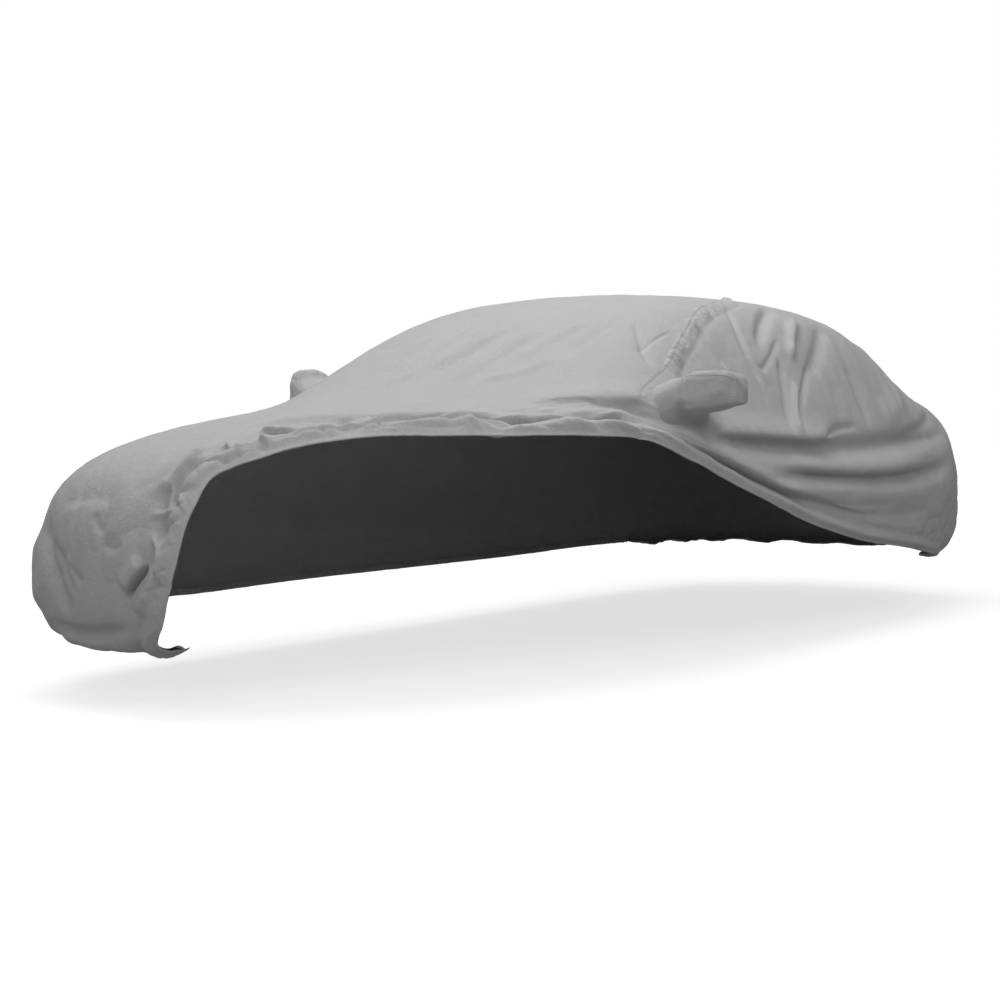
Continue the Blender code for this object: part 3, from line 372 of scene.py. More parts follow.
class Noise:
    """Smooth repeatable noise on a plane, from a fixed lattice."""

    CELLS = 256

    def __init__(self, seed: int) -> None:
        """Args:
            seed: Fixes the lattice, so that each use gives the same cloth every time.
        """
        self.values = np.random.default_rng(seed).uniform(-1, 1, (self.CELLS, self.CELLS))

    def __call__(self, x: Array, y: Array) -> Array:
        """Noise from -1 to 1 at places given in cells."""
        i, j = np.floor(x).astype(int), np.floor(y).astype(int)
        fx, fy = x - i, y - j
        fx = fx**3 * (fx * (fx * 6 - 15) + 10)
        fy = fy**3 * (fy * (fy * 6 - 15) + 10)
        i0, j0 = i % self.CELLS, j % self.CELLS
        i1, j1 = (i + 1) % self.CELLS, (j + 1) % self.CELLS
        low = self.values[i0, j0] * (1 - fx) + self.values[i1, j0] * fx
        high = self.values[i0, j1] * (1 - fx) + self.values[i1, j1] * fx
        return low * (1 - fy) + high * fy

    def layered(self, x: Array, y: Array, layers: int = 3) -> Array:
        """Noise with finer layers added, each half as strong."""
        total = np.zeros_like(x)
        for k in range(layers):
            total += self(x * 2**k + 17.3 * k, y * 2**k + 9.1 * k) / 2**k
        return total

    def billow(self, x: Array, y: Array) -> Array:
        """Puffs with sharp creases between them, from about -1 to 1."""
        return 4 * np.abs(self(x, y)) - 1


# ---------------------------------------------------------------- the draped cloth


@dataclass
class DrapedCloth:
    """The cover's shape as it lies, from its stations, free edge, seams and folds."""

    hem_wave: float = 0.010
    hem_wave_length: float = 0.31
    hem_gather: float = 0.0015
    pucker: float = 0.0048
    pucker_length: float = 0.0230
    pucker_band: float = 0.050
    sway: float = 0.0035
    cage: Array = field(init=False)
    edge_uv: Array = field(init=False)
    edge_path: Array = field(init=False)
    seam_uv: Array = field(init=False)
    seam_path: Array = field(init=False)
    origin: Array = field(init=False)
    stations: Array = field(init=False)
    run: Array = field(init=False)
    noise: list[Noise] = field(init=False)

    def __post_init__(self) -> None:
        """Works out the control cage, the main paths and the roof rest."""
        self.cage = self.control_cage()
        self.edge_uv = rounded_path(FREE_EDGE, 420)
        self.edge_uv[:, 0] = np.clip(self.edge_uv[:, 0], 0, LAST)
        self.edge_uv[:, 1] = np.clip(self.edge_uv[:, 1], -6, 6)
        self.edge_path = self.smooth(self.edge_uv)
        self.seam_uv = rounded_path(SEAM, 360)
        self.seam_path = self.smooth(self.seam_uv)
        self.stations = np.linspace(0, LAST, 40 * LAST + 1)
        crown = self.smooth(np.column_stack([self.stations, np.zeros(len(self.stations))]))
        self.run = run_of(crown)
        over = (self.stations >= 8) & (self.stations <= 12)
        roof_z = float(np.interp(REST_Y, crown[over, 1], crown[over, 2]))
        self.origin = np.array([0.0, REST_Y, roof_z - SHEET - CLEARANCE])
        self.noise = [Noise(seed) for seed in (3, 11, 29, 47, 61)]

    @staticmethod
    def control_cage() -> Array:
        """Control points, one row a station and 13 across, with one more all round."""
        rows = []
        for s in STATIONS:
            skirt_x = 0.6 * s.waist_x + 0.4 * s.hem_x
            half = (
                (0.0, 0.0), (0.55 * s.rail_x, 0.25 * s.rail_drop), (s.rail_x, s.rail_drop),
                (s.shoulder_x, s.shoulder_drop), (s.waist_x, s.waist_drop),
                (skirt_x, 0.45 * s.waist_drop + 0.55), (s.hem_x, 1.0),
            )
            left = [
                (x, s.crown_y + (s.hem_y - s.crown_y) * drop, s.crown_z + (s.hem_z - s.crown_z) * drop)
                for x, drop in half
            ]
            rows.append([(-x, y, z) for x, y, z in left[:0:-1]] + left)
        cage = np.array(rows)
        cage = np.concatenate([2 * cage[:, :1] - cage[:, 1:2], cage, 2 * cage[:, -1:] - cage[:, -2:-1]], 1)
        return np.concatenate([2 * cage[:1] - cage[1:2], cage, 2 * cage[-1:] - cage[-2:-1]])

    @staticmethod
    def weights(t: Array, count: int) -> tuple[Array, tuple[Array, ...]]:
        """First control point and the four spline weights at each place."""
        i = np.clip(np.floor(t).astype(int), 0, count - 2)
        f = t - i
        inner = (3 * f**3 - 6 * f**2 + 4) / 6, (-3 * f**3 + 3 * f**2 + 3 * f + 1) / 6
        return i, ((1 - f) ** 3 / 6, *inner, f**3 / 6)

    def smooth(self, uv: Array) -> Array:
        """The cover with no fold in it, in the ground frame."""
        i, along = self.weights(uv[:, 0], self.cage.shape[0] - 2)
        j, across = self.weights(uv[:, 1] + 6.0, self.cage.shape[1] - 2)
        points = np.zeros((len(uv), 3))
        for a in range(4):
            for b in range(4):
                points += (along[a] * across[b])[:, None] * self.cage[i + a, j + b]
        return points

    def normals(
        self, uv: Array, surface: Callable[[Array], Array] | None = None, step: float = 0.01
    ) -> Array:
        """Unit normals out of the cover.

        Args:
            uv: Rows of (station, girth).
            surface: The surface to measure, the smooth one if not given.
            step: Step along station and girth.

        Returns:
            One normal a row.
        """
        surface = surface or self.smooth
        low, high = np.array([0.0, -6.0]), np.array([float(LAST), 6.0])
        du, dv = np.array([step, 0.0]), np.array([0.0, step])
        along = surface(np.clip(uv + du, low, high)) - surface(np.clip(uv - du, low, high))
        across = surface(np.clip(uv + dv, low, high)) - surface(np.clip(uv - dv, low, high))
        normal = np.cross(across, along)
        return normal / np.linalg.norm(normal, axis=1, keepdims=True)

    def laid_flat(self, uv: Array) -> Array:
        """Places on the cloth in metres, along its length and across it."""
        return np.column_stack([np.interp(uv[:, 0], self.stations, self.run), uv[:, 1] * GIRTH_STEP])

    def fold_shift(self, points: Array, normals: Array) -> Array:
        """How far the named folds move each point, off the cloth and over to one side."""
        shift = np.zeros_like(points)
        for fold in FOLDS:
            length = float(run_of(self.smooth(rounded_path(fold.path, 24)))[-1])
            path = self.smooth(rounded_path(fold.path, max(24, int(length / 0.018))))
            reach = 2.8 * fold.width * (1 + abs(fold.lean))
            near = Nearness.to_path(points, normals, path, reach)
            rows = np.isfinite(near.distance)
            width = fold.width * (1 + fold.lean * near.side[rows])
            share = near.share[rows]
            ends = smoothstep(share / 0.25) * smoothstep((1 - share) / 0.25)
            shape = (np.exp(-((near.distance[rows] / width) ** fold.cut.value)) * ends)[:, None]
            shift[rows] += shape * (fold.height * normals[rows] - fold.over * near.left[rows])
        return shift

    def edge_height(self, near: Nearness) -> Array:
        """The roll, groove, tucked lip, pleats and crumple along the free edge."""
        rows = np.isfinite(near.distance)
        distance, share = near.distance[rows], near.share[rows]
        total = float(run_of(self.edge_path)[-1])
        station = np.interp(share * total, run_of(self.edge_path), self.edge_uv[:, 0])
        run = share * total
        column = {
            name: np.interp(station, [r.station for r in EDGE_ROLLS], [getattr(r, name) for r in EDGE_ROLLS])
            for name in ("width", "roll", "groove", "tuck", "pleat", "crumple")
        }
        width = column["width"]
        uneven = 1 + 0.30 * np.sin(run / 0.31) * np.sin(run / 0.17 + 1.1) + 0.15 * np.sin(run / 0.08)
        roll = column["roll"] * np.exp(-(((distance - 0.5 * width) / (0.40 * width)) ** 2))
        groove = column["groove"] * np.exp(-(((distance - 1.25 * width) / (0.35 * width)) ** 2))
        tuck = column["tuck"] * np.exp(-((distance / (0.30 * width)) ** 2))
        calm = smoothstep((distance - 0.003) / 0.022)
        fade = np.exp(-((distance / 0.15) ** 2)) * calm
        slant = run * 0.9
        swung = distance + 0.05 * np.sin(run / 0.35)
        pleats = self.noise[0].billow(run / 0.42 + 3.0, swung / 0.030 + slant)
        pleats += 0.5 * self.noise[1].billow(run / 0.24, distance / 0.019 - slant)
        strip = np.exp(-((distance / 0.095) ** 4)) * calm
        crumple = self.noise[2].billow((run + 0.8 * distance) / 0.055, (distance - 0.4 * run) / 0.10)
        crumple += 0.6 * self.noise[3].billow((run - 0.6 * distance) / 0.028, distance / 0.050)
        crumple = np.tanh(0.8 * crumple) * strip
        out = np.zeros(len(near.distance))
        out[rows] = (
            (roll - groove) * uneven - tuck + column["pleat"] * pleats * fade + column["crumple"] * crumple
        )
        return out

    def hem_height(self, uv: Array, points: Array) -> Array:
        """Waves and fine gathers that the drawn-up hem puts into the cloth above it."""
        skirt = np.clip((np.abs(uv[:, 1]) - 5.0) / 1.0, 0, 1) * np.clip((uv[:, 0] - 0.3) / 2.0, 0, 1)
        ends = np.clip(np.maximum(1.0 - uv[:, 0], uv[:, 0] - LAST + 1.0), 0, 1)
        band = np.maximum(skirt, ends)
        along = points[:, 0] + points[:, 1]
        wave = np.sin(2 * np.pi * along / self.hem_wave_length) + 0.5 * np.sin(2 * np.pi * along / 0.47 + 0.8)
        gather = self.noise[4].billow(along / 0.045, band * 1.2) * smoothstep((band - 0.55) / 0.4)
        return self.hem_wave * 0.7 * wave * smoothstep(band) + self.hem_gather * gather

    def pucker_height(self, points: Array, normals: Array) -> Array:
        """The gathered strip below the seam over the windscreen pillar."""
        near = Nearness.to_path(points, normals, self.seam_path, 0.13)
        rows = np.isfinite(near.distance)
        distance, side = near.distance[rows], near.side[rows]
        total = float(run_of(self.seam_path)[-1])
        run = near.share[rows] * total
        station = np.interp(run, run_of(self.seam_path), self.seam_uv[:, 0])
        gathered = smoothstep((station - GATHER_START) / 0.2) * smoothstep((GATHER_END - station) / 0.25)
        below = side <= 0
        band = np.where(below, self.pucker_band, 0.3 * self.pucker_band)
        along = run / self.pucker_length + 0.3 * np.sin(distance / 0.03)
        puffs = self.noise[1].billow(along, distance / 0.16)
        puffs += 0.45 * self.noise[3].billow(run / (0.55 * self.pucker_length), distance / 0.06)
        band = band * (1 + 0.45 * self.noise[0](run / 0.06, 0.5 + 0 * run))
        shape = np.exp(-((distance / band) ** 4))
        rise = 0.003 * np.exp(-(((distance - 0.026) / 0.022) ** 2)) * below
        sink = 0.003 * np.exp(-(((distance - 0.066) / 0.014) ** 2)) * below
        stitch = 0.001 * np.exp(-((distance / 0.006) ** 2))
        out = np.zeros(len(points))
        out[rows] = (self.pucker * puffs * shape + rise - sink - stitch) * gathered
        out[rows] -= 0.0015 * np.exp(-((distance / 0.006) ** 2)) * (1 - gathered)
        return out

    def sway_height(self, uv: Array) -> Array:
        """Broad unevenness and slight creases all over."""
        flat = self.laid_flat(uv)
        x, y = flat[:, 0], flat[:, 1]
        steep = smoothstep((np.abs(uv[:, 1]) - 1.6) / 1.6) + smoothstep((4.5 - uv[:, 0]) / 1.5)
        steep = 0.35 + 0.65 * np.clip(steep, 0, 1)
        broad = self.noise[2].layered(x / 0.26, y / 0.22, 2)
        crease = self.noise[3].billow(x / 0.15 + 0.8 * self.noise[1](x / 0.4, y / 0.4), y / 0.11)
        fine = self.noise[4].billow(x / 0.062 + 0.6 * self.noise[0](x / 0.2, y / 0.2), y / 0.040)
        front = smoothstep((4.2 - uv[:, 0]) / 1.4)
        glass = smoothstep((uv[:, 0] - 8.8) / 0.8) * smoothstep((13.5 - uv[:, 0]) / 1.5)
        glass *= smoothstep((np.abs(uv[:, 1]) - 1.4) / 0.5) * smoothstep((3.3 - np.abs(uv[:, 1])) / 0.5)
        ripple = self.noise[1].billow(x / 0.085 + 0.5 * y / 0.30, y / 0.55)
        slight = (0.0014 + 0.0004 * front) * crease * steep + 0.0004 * fine
        return self.sway * steep * broad + slight + 0.0018 * ripple * glass

    def surface(self, uv: Array) -> Array:
        """The outside of the cloth as it lies, in the model's frame."""
        points = self.smooth(uv)
        normals = self.normals(uv)
        edge = Nearness.to_path(points, normals, self.edge_path, EDGE_REACH)
        calm = smoothstep(edge.distance / EDGE_CALM)
        inner = (0.25 + 0.75 * smoothstep(edge.distance / EDGE_FADE))[:, None]
        height = self.edge_height(edge) + calm * self.hem_height(uv, points)
        height += self.pucker_height(points, normals) + self.sway_height(uv)
        return points + normals * height[:, None] + inner * self.fold_shift(points, normals) - self.origin

    def edge_girth(self, station: Array) -> Array:
        """Girth of the free edge at each station."""
        return np.interp(station, self.edge_uv[:, 0], self.edge_uv[:, 1])

    def seam_girth(self, station: Array) -> Array:
        """Girth of the left seam at each station."""
        return np.interp(station, self.seam_uv[:, 0], self.seam_uv[:, 1])

    def far_seam_girth(self, station: Array) -> Array:
        """Girth of the right seam at each station."""
        path = np.concatenate([rounded_path(FAR_SEAM_FRONT, 80), rounded_path(SEAM[3:], 200)])
        return -np.interp(station, path[:, 0], path[:, 1])

    def top_limit(self, station: Array) -> Array:
        """Where the top panel ends on the left: the free edge, then the seam."""
        return np.where(station < SEAM_START, self.edge_girth(station), self.seam_girth(station))


def graded(count: int, first: float, last: float, table: GirthPath) -> Array:
    """Places between two limits that lie closer where the table is higher.

    Args:
        count: How many places.
        first: The first place.
        last: The last place.
        table: Rows of (place, relative closeness).

    Returns:
        The places in order.
    """
    fine = np.linspace(first, last, 4001)
    density = np.interp(fine, [row[0] for row in table], [row[1] for row in table])
    total = np.concatenate([[0], np.cumsum((density[1:] + density[:-1]) / 2)])
    return np.interp(np.linspace(0, total[-1], count), total, fine)


def mesh_from_grid(name: str, points: Array, uv: Array, closed: bool = False) -> bpy.types.Object:
    """Makes an object of quads from a grid of points.

    Args:
        name: The object's name.
        points: Rows and columns of points.
        uv: Rows and columns of places on the flat cloth, in metres.
        closed: Whether the last column joins the first.

    Returns:
        The object, with faces out where rows run back and columns run to the left.
    """
    rows, columns = points.shape[:2]
    index = np.arange(rows * columns).reshape(rows, columns)
    after = np.roll(index, -1, axis=1) if closed else index[:, 1:]
    here = index if closed else index[:, :-1]
    quads = np.stack([here[:-1], after[:-1], after[1:], here[1:]], axis=-1).reshape(-1, 4)
    mesh = bpy.data.meshes.new(name)
    mesh.vertices.add(rows * columns)
    mesh.vertices.foreach_set("co", points.astype(np.float32).ravel())
    mesh.loops.add(quads.size)
    mesh.loops.foreach_set("vertex_index", quads.astype(np.int32).ravel())
    mesh.polygons.add(len(quads))
    mesh.polygons.foreach_set("loop_start", np.arange(0, quads.size, 4, dtype=np.int32))
    mesh.update(calc_edges=True)
    layer = mesh.uv_layers.new(name="cloth")
    layer.uv.foreach_set("vector", uv.reshape(-1, 2)[quads.ravel()].astype(np.float32).ravel())
    mesh.validate()
    mesh.shade_smooth()
    made = bpy.data.objects.new(name, mesh)
    bpy.context.scene.collection.objects.link(made)
    return made


def grid_normals(points: Array) -> Array:
    """Unit normals of a grid whose rows run back and whose columns run to the left."""
    normal = np.cross(np.gradient(points, axis=1), np.gradient(points, axis=0))
    length = np.linalg.norm(normal, axis=2, keepdims=True)
    return normal / np.maximum(length, 1e-9)


def cut_size(points: Array) -> tuple[tuple[float, float], float]:
    """Measures the cloth that a grid of points takes.

    Args:
        points: Rows and columns of points over the cloth.

    Returns:
        The greatest width and length laid out, and the area, in metres and square metres.
    """
    across, along = np.diff(points, axis=1), np.diff(points, axis=0)
    width = float(np.linalg.norm(across, axis=2).sum(axis=1).max())
    length = float(np.linalg.norm(along, axis=2).sum(axis=0).max())
    area = float(np.linalg.norm(np.cross(across[:-1], along[:, :-1]), axis=2).sum())
    log.info("cut %.3f by %.3f m, %.3f square metres", width, length, area)
    return (round(width, 2), round(length, 2)), round(area, 3)


def ring_normals(points: Array) -> Array:
    """Unit normals of a grid whose columns close on themselves."""
    across = np.roll(points, -1, axis=1) - np.roll(points, 1, axis=1)
    normal = np.cross(across, np.gradient(points, axis=0))
    return normal / np.maximum(np.linalg.norm(normal, axis=2, keepdims=True), 1e-9)


@dataclass
class ClothPanel:
    """One panel of the cover, as a fine sheet with its free sides turned under."""

    name: str
    replaces: str
    low: Callable[[Array], Array]
    high: Callable[[Array], Array]
    first: float
    rows: int
    columns: int
    row_closeness: GirthPath
    column_closeness: GirthPath
    hem_low: bool
    hem_high_until: float
    hem_radius: float = 0.004
    hem_depth: float = 0.022
    hem_taper: float = 0.08
    cut: tuple[tuple[float, float], float] = field(init=False)

    def places(self) -> Array:
        """Rows and columns of (station, girth) over the panel."""
        station = graded(self.rows, self.first, float(LAST), self.row_closeness)
        across = graded(self.columns, 0.0, 1.0, self.column_closeness)
        low, high = self.low(station), self.high(station)
        girth = low[:, None] + (high - low)[:, None] * across[None, :]
        return np.stack([np.broadcast_to(station[:, None], girth.shape), girth], axis=-1)

    def turned(self, line: Array, normal: Array, way: float, strength: Array) -> list[Array]:
        """Lines of points that turn an edge under.

        Args:
            line: Points along the edge.
            normal: Unit normals along the edge.
            way: 1 if the edge lies to the left of the line's run, seen from outside, or -1.
            strength: From 0 where nothing is turned to 1 where the full hem is.

        Returns:
            Further lines, round the turn and back inside.
        """
        out = way * np.cross(np.gradient(line, axis=0), normal)
        out /= np.maximum(np.linalg.norm(out, axis=1, keepdims=True), 1e-9)
        radius = (self.hem_radius * strength)[:, None]
        depth = (self.hem_depth * strength)[:, None]
        centre = line - radius * normal
        lines = []
        for angle in np.radians([45, 90, 135, 180]):
            lines.append(centre + radius * (math.cos(angle) * normal + math.sin(angle) * out))
        for share in (0.35, 0.7, 1.0):
            lines.append(lines[3] - share * depth * out - 0.05 * share * depth * normal)
        return lines

    def taper(self, line: Array) -> Array:
        """Strength of a hem along a line, falling to nothing at its ends."""
        run = run_of(line)
        return smoothstep(run / self.hem_taper) * smoothstep((run[-1] - run) / self.hem_taper)

    def build(self, cloth: DrapedCloth) -> bpy.types.Object:
        """Builds the panel's mesh.

        Args:
            cloth: The shape that it takes.

        Returns:
            The panel's object.
        """
        uv = self.places()
        rows, columns = uv.shape[:2]
        points = cloth.surface(uv.reshape(-1, 2)).reshape(rows, columns, 3)
        self.cut = cut_size(points)
        flat = cloth.laid_flat(uv.reshape(-1, 2)).reshape(rows, columns, 2)
        station = uv[:, 0, 0]
        corner = smoothstep(np.abs(station - SEAM_START) / 0.35)
        if self.hem_high_until > 0:
            ends = smoothstep(station / 0.6) * smoothstep((LAST - station) / 0.6)
            strength = corner * ends * (station <= self.hem_high_until)
            normal = cloth.normals(uv[:, -1], cloth.surface)
            for line in self.turned(points[:, -1], normal, 1.0, strength):
                points = np.concatenate([points, line[:, None]], axis=1)
                flat = np.concatenate([flat, flat[:, -1:] + (0, HEM_STEP)], axis=1)
        if self.hem_low:
            normal = cloth.normals(uv[:, 0], cloth.surface)
            for line in self.turned(points[:, 0], normal, -1.0, np.ones(rows)):
                points = np.concatenate([line[:, None], points], axis=1)
                flat = np.concatenate([flat[:, :1] - (0, HEM_STEP), flat], axis=1)
        if self.first == 0:
            normal = grid_normals(points)[1]
            for line in self.turned(points[0], normal, 1.0, self.taper(points[0])):
                points = np.concatenate([line[None], points])
                flat = np.concatenate([flat[:1] - (HEM_STEP, 0), flat])
        normal = grid_normals(points)[-2]
        for line in self.turned(points[-1], normal, -1.0, self.taper(points[-1])):
            points = np.concatenate([points, line[None]])
            flat = np.concatenate([flat, flat[-1:] + (HEM_STEP, 0)])
        made = mesh_from_grid(self.name, points, flat)
        merge_doubles(made, MERGE_DISTANCE)
        log.info("%s: %d faces", self.name, len(made.data.polygons))
        return made

    def dress(self, piece: bpy.types.Object, material: bpy.types.Material) -> None:
        """Gives the panel its material, hangs it on the body and hides the part that it replaces."""
        piece.data.materials.append(material)
        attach(piece, BODY)
        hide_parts(self.replaces)


def merge_doubles(made: bpy.types.Object, distance: float) -> None:
    """Joins points that lie on each other and drops faces that have no area."""
    work = bmesh.new()
    work.from_mesh(made.data)
    bmesh.ops.remove_doubles(work, verts=work.verts, dist=distance)
    bmesh.ops.dissolve_degenerate(work, edges=work.edges, dist=distance / 2)
    work.to_mesh(made.data)
    work.free()
    made.data.update()


# ---------------------------------------------------------------- mirror pockets


@dataclass(frozen=True)
class PocketSection:
    """One section of a mirror pocket, at a distance out from the centre line of the car."""

    x: float
    y_front: float
    y_back: float
    z_low: float
    z_high: float


POCKET_SECTIONS: tuple[PocketSection, ...] = (
    PocketSection(0.915, 0.812, 1.092, 0.962, 1.112),
    PocketSection(0.950, 0.810, 1.080, 0.972, 1.126),
    PocketSection(0.995, 0.866, 1.092, 0.984, 1.131),
    PocketSection(1.035, 0.940, 1.106, 1.000, 1.127),
    PocketSection(1.058, 1.000, 1.108, 1.008, 1.110),
    PocketSection(1.066, 1.030, 1.092, 1.015, 1.085),
)


@dataclass
class MirrorPocket:
    """A pocket over a door mirror, from its mouth in the side panel to its closed end."""

    name: str
    replaces: str
    side: int
    rise: float = 0.0
    drop: float = 0.0
    mouth: tuple[float, float] = (8.08, 2.80)
    reach: tuple[float, float] = (0.36, 0.27)
    square: float = 3.1
    around: int = 200
    rings: int = 110
    welt: float = 0.0032
    dent: float = 0.0040
    cut: tuple[tuple[float, float], float] = field(init=False)

    def mouth_places(self, spread: float = 1.0) -> Array:
        """Places round the mouth, (station, girth)."""
        angle = np.linspace(0, 2 * np.pi, self.around, endpoint=False)
        c, s = self.squared(angle)
        u = self.mouth[0] + spread * self.reach[0] * c
        v = self.mouth[1] + spread * self.reach[1] * s
        return np.column_stack([u, self.side * v])

    def squared(self, angle: Array) -> tuple[Array, Array]:
        """Cosine and sine of a rounded square."""
        power = 2 / self.square
        c, s = np.cos(angle), np.sin(angle)
        return np.sign(c) * np.abs(c) ** power, np.sign(s) * np.abs(s) ** power

    def build(self, cloth: DrapedCloth) -> bpy.types.Object:
        """Builds the pocket's mesh.

        Args:
            cloth: The cloth that its mouth is sewn to.

        Returns:
            The pocket's object.
        """
        angle = np.linspace(0, 2 * np.pi, self.around, endpoint=False)
        c, s = self.squared(angle)
        keys = [cloth.surface(self.mouth_places(1.12)), cloth.surface(self.mouth_places(1.0))]
        keys[0] -= 0.002 * cloth.normals(self.mouth_places(1.12))
        keys[1] += 0.002 * cloth.normals(self.mouth_places(1.0))
        for k, row in enumerate(POCKET_SECTIONS):
            growth = 0.4 if k == 0 else 1.0
            z_low, z_high = row.z_low - self.drop * growth, row.z_high + self.rise * growth
            y = (row.y_front + row.y_back) / 2 + (row.y_back - row.y_front) / 2 * c
            z = (z_low + z_high) / 2 - (z_high - z_low) / 2 * s
            ring = np.column_stack([np.full(self.around, self.side * row.x), y, z]) - cloth.origin
            keys.append(ring)
        middle = keys[-1].mean(axis=0) + (self.side * 0.004, 0, 0)
        keys.append(middle + 0.45 * (keys[-1] - middle) + (self.side * 0.002, 0, 0))
        keys.append(np.repeat(middle[None], self.around, axis=0))
        stack = np.array(keys)
        t = np.linspace(0, len(keys) - 1, self.rings)
        ends = np.concatenate([2 * stack[:1] - stack[1:2], stack, 2 * stack[-1:] - stack[-2:-1]])
        i = np.minimum(t.astype(int), len(keys) - 2)
        f = (t - i)[:, None, None]
        p0, p1, p2, p3 = ends[i], ends[i + 1], ends[i + 2], ends[i + 3]
        squared, cubed = 2 * p0 - 5 * p1 + 4 * p2 - p3, 3 * p1 - 3 * p2 + p3 - p0
        points = 0.5 * (2 * p1 + (p2 - p0) * f + squared * f**2 + cubed * f**3)
        points[-1] = middle
        height = self.relief(points, angle, t, cloth)
        if self.side > 0:
            points, height = points[:, ::-1], height[:, ::-1]
        points = points + height[:, :, None] * ring_normals(points)
        self.cut = cut_size(np.concatenate([points, points[:, :1]], axis=1))
        ring_run = np.linspace(0, 0.26, self.rings)
        round_run = np.linspace(0, 0.75, self.around)
        flat = np.stack(np.broadcast_arrays(ring_run[:, None], round_run[None, :]), axis=-1)
        made = mesh_from_grid(self.name, points, flat, closed=True)
        merge_doubles(made, MERGE_DISTANCE)
        log.info("%s: %d faces", self.name, len(made.data.polygons))
        return made

    def relief(self, points: Array, angle: Array, place: Array, cloth: DrapedCloth) -> Array:
        """Welts along the pocket's seams, with slack cloth between them.

        Args:
            points: Rings of points.
            angle: Angle of each point round its ring.
            place: Place of each ring among the sections.
            cloth: The cloth, for its noise.

        Returns:
            How far each point is lifted.
        """
        closed_end = len(POCKET_SECTIONS) + 1.6
        free = (smoothstep((place - 1.5) / 1.0) * smoothstep((closed_end - place) / 0.6))[:, None]
        welts = np.zeros(points.shape[:2])
        for degrees in (222, 318):
            welts += np.exp(-(((angle - math.radians(degrees)) / 0.035) ** 2))[None, :]
        front = np.clip(-np.cos(angle), 0, 1)[None, :]
        for section in (3.0, 6.0):
            welts += 0.8 * np.exp(-(((place - section) / 0.10) ** 2))[:, None] * front
        y, z = points[:, :, 1], points[:, :, 2]
        slack = cloth.noise[1].layered(y / 0.07, z / 0.055, 2)
        slack = slack + 0.5 * cloth.noise[2].billow(y / 0.05, z / 0.04)
        return free * (self.welt * welts + 0.5 * self.dent * slack)

    def dress(self, piece: bpy.types.Object, material: bpy.types.Material) -> None:
        """Gives the pocket its material, hangs it on the body and hides the part that it replaces."""
        piece.data.materials.append(material)
        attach(piece, BODY)
        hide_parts(self.replaces)


# ---------------------------------------------------------------- finishes


def new_socket(group: bpy.types.NodeTree, name: str, way: str, kind: str, value: object = None) -> None:
    """Adds a named socket to a node group."""
    socket = group.interface.new_socket(name=name, in_out=way, socket_type=kind)
    if value is not None:
        socket.default_value = value


